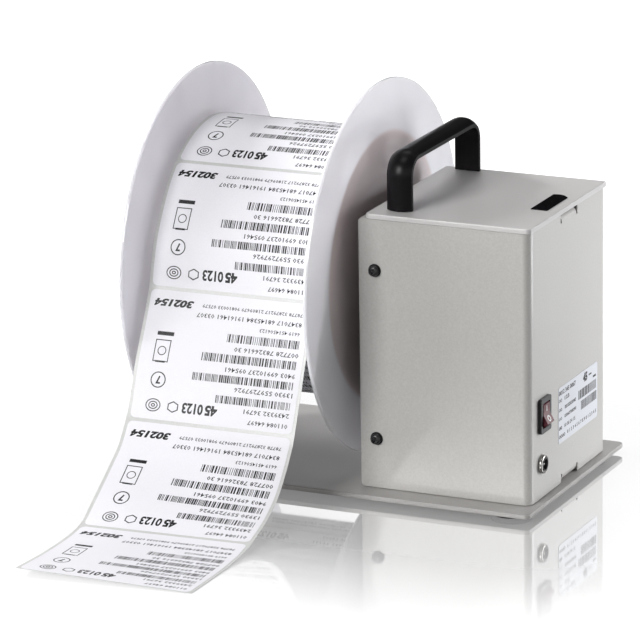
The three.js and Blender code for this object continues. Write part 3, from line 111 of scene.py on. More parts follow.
# %% [markdown]
# Colours are written as the hex values that a picture editor shows, which are sRGB. The shaders
# work in linear light, so one function turns them over. A second function adds a node, sets it
# up and links it, so that each material below reads as a short list of what the finish does.


# %% Colour and node helpers
def linear(hex_colour):
    channels = [int(hex_colour[i:i + 2], 16) / 255 for i in (1, 3, 5)]
    steps = [c / 12.92 if c <= 0.04045 else ((c + 0.055) / 1.055) ** 2.4 for c in channels]
    return (*steps, 1.0)


def add_node(tree, kind, values=None, links=None, **settings):
    """Adds a node. A link comes from an output, or from a node whose first output is meant."""
    made = tree.nodes.new("ShaderNode" + kind)
    for name, value in settings.items():
        setattr(made, name, value)
    for socket, value in (values or {}).items():
        made.inputs[socket].default_value = value
    for socket, source in (links or {}).items():
        tree.links.new(getattr(source, "outputs", [source])[0], made.inputs[socket])
    return made


def blank_material(name, **shader_values):
    material = bpy.data.materials.new(name)
    material.use_nodes = True
    tree = material.node_tree
    shader = tree.nodes["Principled BSDF"]
    for socket, value in shader_values.items():
        shader.inputs[socket.replace("_", " ")].default_value = value
    place = add_node(tree, "TexCoord").outputs["Object"]
    print("material:", name)
    return material, tree, shader, place


def grain(tree, place, size, detail=2.0, stretch=(1, 1, 1)):
    moved = add_node(tree, "Mapping", {"Scale": stretch}, {"Vector": place})
    return add_node(tree, "TexNoise", {"Scale": 1 / size, "Detail": detail},
                    {"Vector": moved}).outputs["Fac"]


def between(tree, factor, low, high, start=0.3, end=0.7):
    ramp = add_node(tree, "ValToRGB", links={"Fac": factor})
    for stop, position, colour in zip(ramp.color_ramp.elements, (start, end), (low, high)):
        stop.position, stop.color = position, colour
    return ramp.outputs["Color"]


def uneven_gloss(tree, shader, texture, low, high):
    rough = add_node(tree, "MapRange", {"To Min": low, "To Max": high}, {"Value": texture})
    tree.links.new(rough.outputs["Result"], shader.inputs["Roughness"])


def relief(tree, shader, height, depth, strength):
    bump = add_node(tree, "Bump", {"Distance": depth, "Strength": strength},
                    {"Height": height})
    tree.links.new(bump.outputs["Normal"], shader.inputs["Normal"])


# %% [markdown]
# The housing is folded steel with an electrostatic powder coat. The powder melts into a skin with
# a very fine orange peel, and tiny specks of darker and lighter resin show in it close up. The
# body of the paint is rough, and a thin smooth coat over it keeps a soft shine at a low angle and
# along the folds. The lid lies almost along our view, where more coat would mirror a lamp as a
# hard white line, so its coat is the thinnest and it has almost no relief. The lid is the same
# paint as the housing, written lighter as painted light on its top. The base plate is the same
# paint written darker, as painted shade.


# %% Powder coat
def powder_coat(name, dark, light, roughness, skin, speck_size, relief_depth, gloss=0.5):
    material, tree, shader, place = blank_material(
        name, Roughness=roughness, IOR=1.5, Specular_IOR_Level=gloss,
        Coat_Weight=skin, Coat_Roughness=0.1, Coat_IOR=1.5)
    specks = grain(tree, place, speck_size, detail=3.0)
    clouds = grain(tree, place, 60 * MM, detail=1.0)
    mixed = add_node(tree, "Math", {1: 0.25}, {0: clouds, 2: specks}, operation="MULTIPLY_ADD")
    colour = between(tree, mixed, linear(dark), linear(light), 0.35, 0.95)
    tree.links.new(colour, shader.inputs["Base Color"])
    uneven_gloss(tree, shader, specks, roughness - 0.06, roughness + 0.06)
    relief(tree, shader, specks, relief_depth, 0.35)
    return material


housing_paint = powder_coat("light grey powder coat on steel", "#BAB8B4", "#C7C6C3",
                            0.4, 0.25, 1.0 * MM, 0.05 * MM)
# The lid's colour is the housing's paint written lighter, as painted light on its top.
lid_paint_painted_lighter = powder_coat("half gloss grey powder coat on steel", "#CDCBCA", "#D4D2D1",
                        0.35, 0.1, 0.5 * MM, 0.004 * MM, 0.3)
# The base plate's colour is the housing's paint written darker, as painted shade.
base_paint_painted_darker = powder_coat("low gloss grey powder coat on steel", "#A3A09E", "#AFADAB",
                         0.45, 0.2, 1.0 * MM, 0.04 * MM, 0.2)

# %% [markdown]
# The carrying handle is an aluminium strap with a satin black lacquer. Black reads as a shape
# only through its highlights, so the roughness wanders a little, as lacquer does. The mirror share
# of most of these finishes is set below the usual, because the room round them is all white here
# and would turn them grey. The oxide on the screws keeps the usual share.


# %% Black lacquer, black plastic and rubber
def mottle(tree, shader, texture, dark, light, roughness, wander):
    """One texture sets both the colour and the roughness, so that they vary together."""
    tree.links.new(between(tree, texture, dark, light), shader.inputs["Base Color"])
    uneven_gloss(tree, shader, texture, roughness - wander, roughness + wander)


def black_finish(name, colour, roughness, size, depth, gloss=0.3):
    material, tree, shader, place = blank_material(name, IOR=1.5, Specular_IOR_Level=gloss)
    texture = grain(tree, place, size, detail=3.0)
    dark = tuple(0.8 * c for c in linear(colour)[:3]) + (1.0,)
    mottle(tree, shader, texture, dark, linear(colour), roughness, 0.05)
    relief(tree, shader, texture, depth, 0.4)
    return material


handle_lacquer = black_finish("satin black lacquer on aluminium", "#100F11",
                              0.3, 1.2 * MM, 0.003 * MM, 0.15)
moulded_black = black_finish("spark eroded black ABS", "#1D1D1F", 0.42, 0.5 * MM, 0.03 * MM)
moulded_dark = black_finish("dark grey moulded nylon", "#222125", 0.3, 0.5 * MM, 0.02 * MM, 0.4)
badge_film = black_finish("gloss black polyester film", "#060508", 0.12, 4 * MM, 0.002 * MM, 0.05)
foot_rubber = black_finish("moulded black rubber", "#2C2B2A", 0.75, 0.8 * MM, 0.05 * MM)
black_oxide = black_finish("black oxide on steel", "#1A1A1C", 0.3, 0.6 * MM, 0.01 * MM, 0.5)

# %% [markdown]
# The flanges are laser cut from milky cast acrylic. Light goes through the thin sheet and spreads
# in it, which subsurface light of about a centimetre gives, under a very smooth surface. The roll
# stands against the inner flange and shows through it as a darker and warmer disc, where it keeps
# off the light that comes through the sheet from behind. That is painted shade: the colour is
# darkened and warmed there, by the distance from the spindle. The outer flange is the same acrylic
# written greyer, as painted shade.

# %% Acrylic
SPINDLE_Z = 119.5 * MM
ROLL_RADIUS = 79 * MM
ROLL_SHADE_EDGE = 2 * MM


def from_spindle(tree, place):
    apart = add_node(tree, "SeparateXYZ", links={"Vector": place}).outputs
    flat = add_node(tree, "CombineXYZ", links={"Y": apart["Y"], "Z": apart["Z"]})
    centred = add_node(tree, "VectorMath", {1: (0, 0, SPINDLE_Z)}, {0: flat},
                       operation="SUBTRACT")
    return add_node(tree, "VectorMath", links={0: centred}, operation="LENGTH").outputs["Value"]


def eased(tree, value, start, end, low=0.0, high=1.0):
    """Goes smoothly from low to high while the value goes from start to end."""
    limits = {"From Min": start, "From Max": end, "To Min": low, "To Max": high}
    return add_node(tree, "MapRange", limits, {"Value": value},
                    interpolation_type="SMOOTHSTEP").outputs["Result"]


def milky_acrylic(name, dark, light, roll_shade_colour):
    material, tree, shader, place = blank_material(
        name, IOR=1.49, Subsurface_Weight=1.0, Subsurface_Radius=(1.0, 0.96, 0.96),
        Subsurface_Scale=12 * MM)
    clouds = grain(tree, place, 35 * MM, detail=1.0)
    clear = between(tree, clouds, linear(dark), linear(light))
    # Painted shade: inside the roll's radius the colour is darker and warmer, where the roll keeps the light
    # from behind off the sheet.
    outside = eased(tree, from_spindle(tree, place), ROLL_RADIUS - ROLL_SHADE_EDGE, ROLL_RADIUS + ROLL_SHADE_EDGE)
    painted_roll_shade = between(tree, outside, roll_shade_colour + (1.0,), (1, 1, 1, 1), 0.0, 1.0)
    colour = add_node(tree, "VectorMath", links={0: clear, 1: painted_roll_shade}, operation="MULTIPLY")
    tree.links.new(colour.outputs["Vector"], shader.inputs["Base Color"])
    uneven_gloss(tree, shader, grain(tree, place, 1.1 * MM), 0.02, 0.05)
    return material


# The last colour is the painted shade of the roll on the inner flange.
flange_acrylic = milky_acrylic("milky cast acrylic", "#DCDCE6", "#E2E2EC", (0.86, 0.75, 0.69))
# The outer flange is the same acrylic written greyer, as painted shade.
acrylic_painted_greyer = milky_acrylic("greyer milky cast acrylic", "#C2C1C9", "#CAC9D0", (1.0, 1.0, 1.0))

# %% [markdown]
# Labels are a stack of two papers. The face paper is bright and matt, with a fine felt of fibres.
# The liner below is glassine, which is greyer and a little glossy because its fibres are crushed
# and siliconised. The print is thermal transfer ribbon, a thin black resin with a soft shine.


# %% Papers and ink
def paper(name, dark, light, roughness, fibre):
    material, tree, shader, place = blank_material(name, IOR=1.45)
    fibres = grain(tree, place, fibre, detail=4.0, stretch=(1, 2.5, 2.5))
    mottle(tree, shader, fibres, linear(dark), linear(light), roughness, 0.04)
    relief(tree, shader, fibres, 0.02 * MM, 0.3)
    return material


face_paper = paper("matt white label paper", "#E5E4E9", "#EBEAEF", 0.5, 0.9 * MM)
glassine = paper("grey glassine liner", "#C4C5C3", "#CFD0CE", 0.32, 1.5 * MM)
core_board = paper("spiral wound grey board", "#8E7456", "#AE9370", 0.85, 2.0 * MM)
ribbon_ink = black_finish("black resin ribbon print", "#1A191B", 0.45, 0.8 * MM, 0.003 * MM)


def wound_edges():
    material, tree, shader, place = blank_material("edges of wound label stock", IOR=1.45, Roughness=0.6)
    turns = add_node(tree, "TexNoise", {"Scale": 1 / (0.5 * MM), "Detail": 2.0},
                     {"W": from_spindle(tree, place)}, noise_dimensions="1D").outputs["Fac"]
    colour = between(tree, turns, linear("#B9B6AE"), linear("#DEDCD8"))
    tree.links.new(colour, shader.inputs["Base Color"])
    relief(tree, shader, turns, 0.05 * MM, 0.5)
    return material


turn_edges = wound_edges()

# %% [markdown]
# Metals take their colour from their reflection, so their base colour is bright. The plating is
# written darker than real chrome, because the room that it mirrors here is all white. Turned and
# drawn parts carry fine marks along the way they were worked, which is what tells them from
# plating. The gears, the board and the printed marks have the same fine matt grain as the papers.


# %% Metals
def metal(name, dark, light, roughness, size, stretch=(1, 1, 1)):
    material, tree, shader, place = blank_material(name, Metallic=1.0)
    marks = grain(tree, place, size, detail=3.0, stretch=stretch)
    mottle(tree, shader, marks, linear(dark), linear(light), roughness, 0.05)
    relief(tree, shader, marks, 0.01 * MM, 0.3)
    return material


nut_plating = metal("bright nickel and chrome plate", "#92908D", "#AAA8A5", 0.1, 3 * MM)
drawn_steel = metal("ground bright steel", "#A9AAAC", "#C4C5C7", 0.3, 0.4 * MM, (0.2, 1, 1))
turned_aluminium = metal("turned aluminium", "#B7B9BC", "#D0D2D4", 0.32, 0.4 * MM, (3, 0.3, 0.3))
gear_acetal = paper("natural moulded acetal", "#E2DFD4", "#EEECE4", 0.4, 3.0 * MM)
board_laminate = paper("green solder mask on laminate", "#1B5638", "#256B48", 0.35, 2.0 * MM)


def rocker_plastic():
    material, tree, shader, place = blank_material("tinted red polycarbonate", Roughness=0.3, IOR=1.58,
                                                   Specular_IOR_Level=0.15, Transmission_Weight=0.25)
    colour = between(tree, grain(tree, place, 3 * MM), linear("#54202A"), linear("#75303A"))
    tree.links.new(colour, shader.inputs["Base Color"])
    return material


rocker_red = rocker_plastic()
mark_white = paper("white pad printed ink", "#DAD6D6", "#E6E2E2", 0.4, 1.0 * MM)

# %% [markdown]
# Every CAD node keeps its shape and gets the finish of its slot in the record. The pieces below
# then replace those that show, and the ones that stay are inside the housing or under the plate.

# %% Finishes for the CAD nodes
SLOT_FINISH = {
    "powder_coat": housing_paint, "satin_black": handle_lacquer, "black_plate": badge_film,
    "acrylic": flange_acrylic, "label_paper": face_paper, "kraft": core_board, "chrome": nut_plating,
    "steel": drawn_steel, "black_screw": black_oxide, "aluminium": turned_aluminium,
    "acetal": gear_acetal, "rubber": foot_rubber, "black_plastic": moulded_black,
    "dark_plastic": moulded_dark, "rocker_red": rocker_red, "board": board_laminate,
}
node_slots = {row["node"]: row["material_slot"] for row in frame["record"]["subparts"]}
for name, cad in nodes.items():
    cad.data.materials.clear()
    cad.data.materials.append(SLOT_FINISH[node_slots[name]])
print("finishes:", len(SLOT_FINISH))

# %% [markdown]
# A finished piece is a mesh at the origin with its place in its vertices. It rides on the CAD body
# that carries it and hides the CAD nodes that it stands for.


# %% Finishing a piece
def add_mesh_object(name, shape, material=None):
    mesh = bpy.data.meshes.new(name)
    shape.to_mesh(mesh)
    shape.free()
    if material:
        mesh.materials.append(material)
    return add_object(name, mesh)


def finish_piece(name, shape, material, body, replaced=(), smooth_below=40):
    bmesh.ops.recalc_face_normals(shape, faces=shape.faces)
    for face in shape.faces:
        face.smooth = True
    for edge in shape.edges:
        edge.smooth = len(edge.link_faces) == 2 and edge.calc_face_angle() < math.radians(smooth_below)
    piece = add_mesh_object(name, shape, material)
    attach(piece, body)
    if replaced:
        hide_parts(*replaced)
    print(name, "on", body, "faces:", len(piece.data.polygons))
    return piece


# %% [markdown]
# Real edges are never sharp: paint pools on them and a tool breaks them, and the thin bright line
# along each fold of the housing is that small radius. A copy of a CAD node is merged, because its
# triangles are loose, its flat faces are joined, and its sharp edges are beveled. A weighted
# normal then keeps the flats flat in the shading while the small radii stay soft.


# %% Rounded copies of CAD nodes
NODE_WELD = 0.004 * MM
FLAT_BELOW, SHARP_ABOVE = math.radians(0.5), math.radians(50)


def body_of(node):
    return nodes[node].parent.name.split(":", 1)[1]


def rounded(node, name, material, radius, segments=2):
    shape = bmesh.new()
    shape.from_mesh(nodes[node].data)
    bmesh.ops.remove_doubles(shape, verts=shape.verts, dist=NODE_WELD)
    bmesh.ops.dissolve_limit(shape, angle_limit=FLAT_BELOW, verts=shape.verts, edges=shape.edges)
    edges = [e for e in shape.edges if len(e.link_faces) == 2 and e.calc_face_angle() > SHARP_ABOVE]
    bmesh.ops.bevel(shape, geom=edges, offset=radius, offset_type="OFFSET", affect="EDGES",
                    segments=segments, profile=0.5, material=-1, clamp_overlap=True)
    piece = finish_piece(name, shape, material, body_of(node), [node], 35)
    piece.modifiers.new("even shading", "WEIGHTED_NORMAL").keep_sharp = True


rounded("cover", "cover_folded_sheet", housing_paint, 0.25 * MM)
rounded("wall_frame", "wall_frame_pan", housing_paint, 0.25 * MM)
rounded("lid", "lid_pan", lid_paint_painted_lighter, 0.2 * MM)
rounded("base_plate", "base_plate_sheet", base_paint_painted_darker, 0.25 * MM)
rounded("handle", "handle_strap", handle_lacquer, 0.6 * MM, 3)
rounded("switch_bezel", "switch_frame", moulded_dark, 0.3 * MM)
rounded("mandrel", "mandrel_turned", turned_aluminium, 0.3 * MM)
rounded("mandrel_cap", "mandrel_end_cap", moulded_black, 0.3 * MM)
rounded("outer_hub", "outer_hub_moulding", moulded_black, 0.4 * MM)
rounded("lock_screw", "lock_screw_knob", moulded_black, 0.2 * MM)

# %% [markdown]
# A disc or ring is turned: its section is drawn once beside the axis and spun all the way round.
# The flanges get a fine spin, since their long thin outline shows any corner, and a small radius
# on both rims where the laser cut edge was flame polished.

# %% Turned pieces
AXIS = Vector((1, 0, 0))
SPIN_WELD = 0.001 * MM
CORNER_STEPS = 4
CORE_BORE = 19.05 * MM
FLANGE_RIM, FLANGE_STEPS = 0.45 * MM, 240


def turned(section, steps, y=0.0, z=SPINDLE_Z):
    shape = bmesh.new()
    points = [shape.verts.new((along, y, z + radius)) for along, radius in section]
    edges = [shape.edges.new(pair) for pair in zip(points, points[1:])]
    if min(section[0][1], section[-1][1]) > 0:
        edges.append(shape.edges.new((points[-1], points[0])))
    bmesh.ops.spin(shape, geom=points + edges, cent=(0, y, z), axis=AXIS, angle=2 * math.pi,
                   steps=steps, use_merge=True)
    bmesh.ops.remove_doubles(shape, verts=shape.verts, dist=SPIN_WELD)
    return shape


def rounded_disc(left, right, bore, radius, edge, steps):
    corner = []
    for i in range(CORNER_STEPS + 1):
        angle = math.pi / 2 * i / CORNER_STEPS
        corner.append((edge * (1 - math.cos(angle)), edge * (1 - math.sin(angle))))
    section = [(left, bore)]
    section += [(left + along, radius - drop) for along, drop in corner]
    section += [(right - along, radius - drop) for along, drop in reversed(corner)]
    section.append((right, bore))
    return turned(section, steps)


def flange(node, name, body, acrylic):
    low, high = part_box(node)
    shape = rounded_disc(low.x, high.x, CORE_BORE, high.y, FLANGE_RIM, FLANGE_STEPS)
    finish_piece(name, shape, acrylic, body, [node], 50)


flange("inner_flange", "inner_flange_disc", "reel", flange_acrylic)
flange("outer_flange", "outer_flange_disc", "outer_flange_set", acrylic_painted_greyer)

# %% [markdown]
# The roll is hundreds of turns of the web. Its two side faces show the edges of those turns, which
# never line up exactly, so the section steps in and out by up to 0.15 mm and the finish draws the
# single turns as fine rings, coarser than the real ones so that they show.

# %% Roll and core
ROLL_LEFT, ROLL_RIGHT = -120 * MM, -16 * MM
ROLL_RINGS, RING_STEP_MM = 28, 0.15
ROLL_EDGE, ROLL_EDGE_DROP = 0.2 * MM, 0.1 * MM
CORE_RADIUS, CORE_TUBE_RADIUS, CORE_EDGE = 22.7 * MM, 22.4 * MM, 0.4 * MM


def roll_section():
    chance = random.Random(4)
    depth = ROLL_RADIUS - ROLL_EDGE_DROP - CORE_RADIUS
    radii = [CORE_RADIUS + depth * i / ROLL_RINGS for i in range(ROLL_RINGS + 1)]
    left = [(ROLL_LEFT + chance.uniform(0.0, RING_STEP_MM) * MM, r) for r in radii]
    right = [(ROLL_RIGHT - chance.uniform(0.0, RING_STEP_MM) * MM, r) for r in reversed(radii)]
    return left + [(ROLL_LEFT + ROLL_EDGE, ROLL_RADIUS), (ROLL_RIGHT - ROLL_EDGE, ROLL_RADIUS)] + right


finish_piece("wound_roll", turned(roll_section(), 192), turn_edges, "reel",
             ["label_roll"], 30)
core_tube = rounded_disc(ROLL_LEFT, ROLL_RIGHT, CORE_BORE, CORE_TUBE_RADIUS, CORE_EDGE, 64)
finish_piece("core_tube", core_tube, core_board, "reel", ["core"], 50)

# %% [markdown]
# The web is laid out flat first, as it comes off the press: x across it, y along it from its free
# end, and z the height above its underside. Liner, labels and print are all cut flat, and only
# then is every vertex moved onto the web's curved path, the way a real sheet is bent. The path is
# two edge curves, because the web twists a little where it lands. They are the curves that the
# CAD solid has, smooth splines through the same points.

# %% The path of the web
WEB_LIFT = 0.35 * MM
FLOOR_Z, FLOOR_GAP = -3 * MM, 0.3 * MM
WRAP_START, WRAP_END, WRAP_STEPS = 60, 145, 9
CURVE_STEPS = 24
LEFT_EDGE_SHARES = [
    (0.915, 1.276), (0.984, 1.193), (1.042, 1.081), (1.084, 0.979), (1.187, 0.836), (1.328, 0.665),
    (1.439, 0.489), (1.506, 0.411), (1.635, 0.305), (1.792, 0.233), (1.941, 0.169), (2.103, 0.101),
    (2.251, 0.045), (2.422, 0.025), (2.652, 0.02), (2.893, 0.021), (3.162, 0.029), (3.243, 0.031)]
RIGHT_EDGE_SHARES = [
    (0.915, 1.276), (0.977, 1.184), (1.027, 1.061), (1.077, 0.947), (1.224, 0.735), (1.336, 0.567),
    (1.451, 0.394), (1.51, 0.333), (1.59, 0.264), (1.705, 0.184), (1.827, 0.127), (1.984, 0.079),
    (2.239, 0.026), (2.457, 0.007), (2.71, 0.0), (2.93, 0.0), (3.142, 0.0)]


def edge_points(shares):
    hug = ROLL_RADIUS + WEB_LIFT
    low = FLOOR_Z + FLOOR_GAP
    points = []
    for i in range(WRAP_STEPS + 1):
        angle = math.radians(WRAP_START + (WRAP_END - WRAP_START) * i / WRAP_STEPS)
        points.append(Vector((hug * math.cos(angle), SPINDLE_Z + hug * math.sin(angle))))
    points += [Vector((-hug * out, low + (SPINDLE_Z - low) * rise)) for out, rise in shares]
    return points


def smooth_line(points):
    line = []
    last = len(points) - 1
    for i in range(last):
        before, start = points[max(i - 1, 0)], points[i]
        end, after = points[i + 1], points[min(i + 2, last)]
        leave, arrive = (end - before) / 2, (after - start) / 2
        for k in range(CURVE_STEPS):
            t = k / CURVE_STEPS
            line.append(start + leave * t + (3 * (end - start) - 2 * leave - arrive) * t * t
                        + (2 * (start - end) + leave + arrive) * t ** 3)
    line.append(points[last])
    return line


class Path:
    """A line that can be asked for the point at a share of its length."""

    def __init__(self, points):
        self.line = smooth_line(points)
        self.reach = [0.0]
        for a, b in zip(self.line, self.line[1:]):
            self.reach.append(self.reach[-1] + (b - a).length)
        self.length = self.reach[-1]

    def at(self, share):
        target = share * self.length
        end = bisect.bisect_right(self.reach, target, 1, len(self.reach) - 1)
        step = (target - self.reach[end - 1]) / (self.reach[end] - self.reach[end - 1])
        return self.line[end - 1].lerp(self.line[end], step)


left_path = Path(edge_points(LEFT_EDGE_SHARES))
right_path = Path(edge_points(RIGHT_EDGE_SHARES))
WEB_WIDTH = ROLL_RIGHT - ROLL_LEFT
WEB_LENGTH = (left_path.length + right_path.length) / 2
print("web length in mm:", round(WEB_LENGTH / MM, 1))


def on_tail(x, along, height):
    """The place of a point of the flat web, once the web hangs from the roll."""

    def bare(across, from_end):
        share = 1 - from_end / WEB_LENGTH
        middle = left_path.at(share).lerp(right_path.at(share), (across - ROLL_LEFT) / WEB_WIDTH)
        return Vector((across, middle.x, middle.y))

    nearby = 0.5 * MM
    ahead = bare(x, min(along + nearby, WEB_LENGTH))
    behind = bare(x, max(along - nearby, 0.0))
    across = bare(x + nearby, along) - bare(x - nearby, along)
    outwards = across.cross(ahead - behind).normalized()
    return bare(x, along) + outwards * height


def on_roll(x, along, height):
    """The place of a point of the flat web where it is still wound on the roll."""
    angle = math.radians(WRAP_START) - (along - WEB_LENGTH) / ROLL_RADIUS
    radius = ROLL_RADIUS + height
    return Vector((x, radius * math.cos(angle), SPINDLE_Z + radius * math.sin(angle)))


def wrap(shape, surface):
    for vertex in shape.verts:
        vertex.co = surface(*vertex.co)


# %% [markdown]
# Liner, labels and print lie on each other with only hundredths of a millimetre between them, so
# they have to bend as one. All of them are cut along the same lines, across the web every two
# millimetres and along it every eight. The liner is a long thin slab with a real thickness, so
# that its torn end and its edges catch the light.

# %% Liner
LINER_SHEET = 0.2 * MM
LABEL_SHEET = 0.1 * MM
INK_SHEET = 0.04 * MM
INK_SUNK = 0.01 * MM
LABEL_WIDTH, LABEL_LENGTH = 100 * MM, 75 * MM
LABEL_PITCH = 77.2 * MM
LABEL_CORNER = 3 * MM
FIRST_LABEL = 0.5 * MM
LABEL_LEFT = ROLL_LEFT + 2 * MM
LABEL_LIFT = 0.02 * MM
CUT_EVERY, COLUMN_EVERY, CUT_WITHIN = 2 * MM, 8 * MM, 1e-7


def everything(shape):
    return shape.verts[:] + shape.edges[:] + shape.faces[:]


def cut_into_cells(shape):
    """Cuts a flat shape along the lines that all layers of the web share."""
    ends = [v.co.y - FIRST_LABEL for v in shape.verts]
    first = math.ceil(min(ends) / CUT_EVERY + 0.01)
    last = math.floor(max(ends) / CUT_EVERY - 0.01)
    columns = round(WEB_WIDTH / COLUMN_EVERY)
    cuts = [((0, FIRST_LABEL + k * CUT_EVERY, 0), (0, 1, 0)) for k in range(first, last + 1)]
    cuts += [((ROLL_LEFT + k * COLUMN_EVERY, 0, 0), (1, 0, 0)) for k in range(1, columns)]
    for place, across in cuts:
        bmesh.ops.bisect_plane(shape, geom=everything(shape), dist=CUT_WITHIN, plane_co=place,
                               plane_no=across)


def put(shape, turn, place):
    """Turns a shape about the origin and then moves it to its place."""
    bmesh.ops.rotate(shape, cent=(0, 0, 0), matrix=turn, verts=shape.verts)
    bmesh.ops.translate(shape, vec=place, verts=shape.verts)
    return shape


def block(size, middle, degrees=0, axis="X"):
    shape = bmesh.new()
    bmesh.ops.create_cube(shape, size=1.0)
    bmesh.ops.scale(shape, vec=size, verts=shape.verts)
    return put(shape, Matrix.Rotation(math.radians(degrees), 3, axis), middle)


liner = block((WEB_WIDTH, WEB_LENGTH, LINER_SHEET),
              ((ROLL_LEFT + ROLL_RIGHT) / 2, WEB_LENGTH / 2, LINER_SHEET / 2))
cut_into_cells(liner)
wrap(liner, on_tail)
web_liner = finish_piece("web_liner", liner, glassine, "frame", ["label_tail"])

# %% [markdown]
# One label is a rounded rectangle of face paper, and they follow each other with a small gap. Its
# corners are rounded by beveling the four upright edges of the block before the cells are cut.

# %% Labels
TAIL_LABELS = math.ceil((WEB_LENGTH - FIRST_LABEL) / LABEL_PITCH)
ROLL_LABELS = 6
LABELS_END, PRINT_END = WEB_LENGTH - 0.2 * MM, WEB_LENGTH - 0.5 * MM


def cut_off(shape, far_limit):
    """Takes away what lies beyond a line across the web, and returns the edges of the cut."""
    cut = bmesh.ops.bisect_plane(shape, geom=everything(shape), plane_co=(0, far_limit, 0),
                                 plane_no=(0, 1, 0), clear_outer=True)
    return [e for e in cut["geom_cut"] if isinstance(e, bmesh.types.BMEdge)]


def flat_label(near, bottom, far_limit):
    shape = block((LABEL_WIDTH, LABEL_LENGTH, LABEL_SHEET),
                  (LABEL_LEFT + LABEL_WIDTH / 2, near + LABEL_LENGTH / 2, bottom + LABEL_SHEET / 2))
    corners = [e for e in shape.edges if abs(e.verts[0].co.z - e.verts[1].co.z) > LABEL_SHEET / 2]
    bmesh.ops.bevel(shape, geom=corners, offset=LABEL_CORNER, offset_type="OFFSET", affect="EDGES",
                    segments=8, profile=0.5, material=-1)
    if far_limit and near + LABEL_LENGTH > far_limit:
        bmesh.ops.holes_fill(shape, edges=cut_off(shape, far_limit))
    cut_into_cells(shape)
    return shape


def add_shape(whole, part):
    mesh = bpy.data.meshes.new("part")
    part.to_mesh(mesh)
    part.free()
    whole.from_mesh(mesh)
    bpy.data.meshes.remove(mesh)


def label_row(first, count, bottom, far_limit=None):
    row = bmesh.new()
    for k in range(first, first + count):
        add_shape(row, flat_label(FIRST_LABEL + k * LABEL_PITCH, bottom, far_limit))
    return row


tail_labels = label_row(0, TAIL_LABELS, LINER_SHEET, LABELS_END)
wrap(tail_labels, on_tail)
finish_piece("web_labels", tail_labels, face_paper, "frame")
roll_labels = label_row(TAIL_LABELS, ROLL_LABELS, LABEL_LIFT)
wrap(roll_labels, on_roll)
finish_piece("roll_labels", roll_labels, face_paper, "reel")

# %% [markdown]
# The print on each label is of a common kind: bar codes with their numbers, a bold number, and a
# column of plain shapes. All of it is drawn once on one flat label and stamped along the web. The
# web comes off the printer head first, so to us the print stands upside down. A place on the
# label is given in millimetres from its left edge and from the edge nearer the roll.


# %% Print shapes
def flat_place(from_left, from_top):
    return Vector((LABEL_LEFT + from_left * MM, FIRST_LABEL + LABEL_LENGTH - from_top * MM, 0))


def add_rectangle(shape, width, height, middle=(0, 0, 0)):
    made = bmesh.ops.create_grid(shape, x_segments=1, y_segments=1, size=0.5)["verts"]
    bmesh.ops.scale(shape, vec=(width, height, 1), verts=made)
    bmesh.ops.translate(shape, vec=middle, verts=made)


def add_ring(shape, width, height, line, sides, middle=(0, 0, 0)):
    """A flat ring of many sides, or a flat frame when it has four."""
    loops = [bmesh.ops.create_circle(shape, radius=1.0, segments=sides)["verts"] for _ in range(2)]
    both = loops[0] + loops[1]
    if sides == 4:
        level = Matrix.Rotation(math.radians(45), 3, "Z")
        bmesh.ops.rotate(shape, cent=(0, 0, 0), matrix=level, verts=both)
        bmesh.ops.scale(shape, vec=(2 ** 0.5, 2 ** 0.5, 1), verts=both)
    for loop, inset in zip(loops, (0.0, line)):
        bmesh.ops.scale(shape, vec=(width / 2 - inset, height / 2 - inset, 1), verts=loop)
    edges = dict.fromkeys(e for v in both for e in v.link_edges)
    bmesh.ops.bridge_loops(shape, edges=list(edges))
    bmesh.ops.translate(shape, vec=middle, verts=both)


def stamp_box(ink, left, top, width, height):
    add_rectangle(ink, width * MM, height * MM, flat_place(left + width / 2, top + height / 2))


def stamp_ring(ink, middle_left, middle_top, width, height, line, sides=28):
    add_ring(ink, width * MM, height * MM, line * MM, sides, flat_place(middle_left, middle_top))


def evaluated_mesh(made):
    """The mesh that an object has once its text or its modifiers are worked out."""
    bpy.context.view_layer.update()
    return bpy.data.meshes.new_from_object(made.evaluated_get(bpy.context.evaluated_depsgraph_get()))


def add_digits(ink, digits, place, width, height, weight, slant=0.0, fineness=1):
    """Draws plain digits flat, so that they fill a box of so many millimetres round a place."""
    curve = bpy.data.curves.new("digits", "FONT")
    curve.body = digits
    curve.size = 1.0
    curve.resolution_u = fineness
    curve.offset = weight
    curve.shear = slant
    written = add_object("digits", curve)
    mesh = evaluated_mesh(written)
    places = [v.co for v in mesh.vertices]
    low = Vector([min(p[k] for p in places) for k in range(2)] + [0])
    high = Vector([max(p[k] for p in places) for k in range(2)] + [1])
    to_box = Matrix.Diagonal([1 / (high[k] - low[k]) for k in range(3)] + [1])
    mesh.transform(to_box @ Matrix.Translation(-(low + high - Vector((0, 0, 1))) / 2))
    mesh.transform(place @ Matrix.Diagonal((width * MM, height * MM, 1, 1)))
    ink.from_mesh(mesh)
    bpy.data.objects.remove(written)
    bpy.data.curves.remove(curve)
    bpy.data.meshes.remove(mesh)


def stamp_digits(ink, digits, left, top, width, height, *style):
    middle = Matrix.Translation(flat_place(left + width / 2, top + height / 2))
    upside_down = Matrix.Rotation(math.pi, 4, "Z")
    add_digits(ink, digits, middle @ upside_down, width, height, *style)


def stamp_bars(ink, left, top, width, height, chance):
    at = left + width
    while at > left + 1.0:
        bar = chance.choice((0.35, 0.35, 0.6, 1.0))
        stamp_box(ink, at - bar, top, bar, height)
        at -= bar + chance.choice((0.35, 0.35, 0.6, 0.9))


# %% [markdown]
# The rows of the label, each with the place that it has on such labels. The numbers mean nothing.

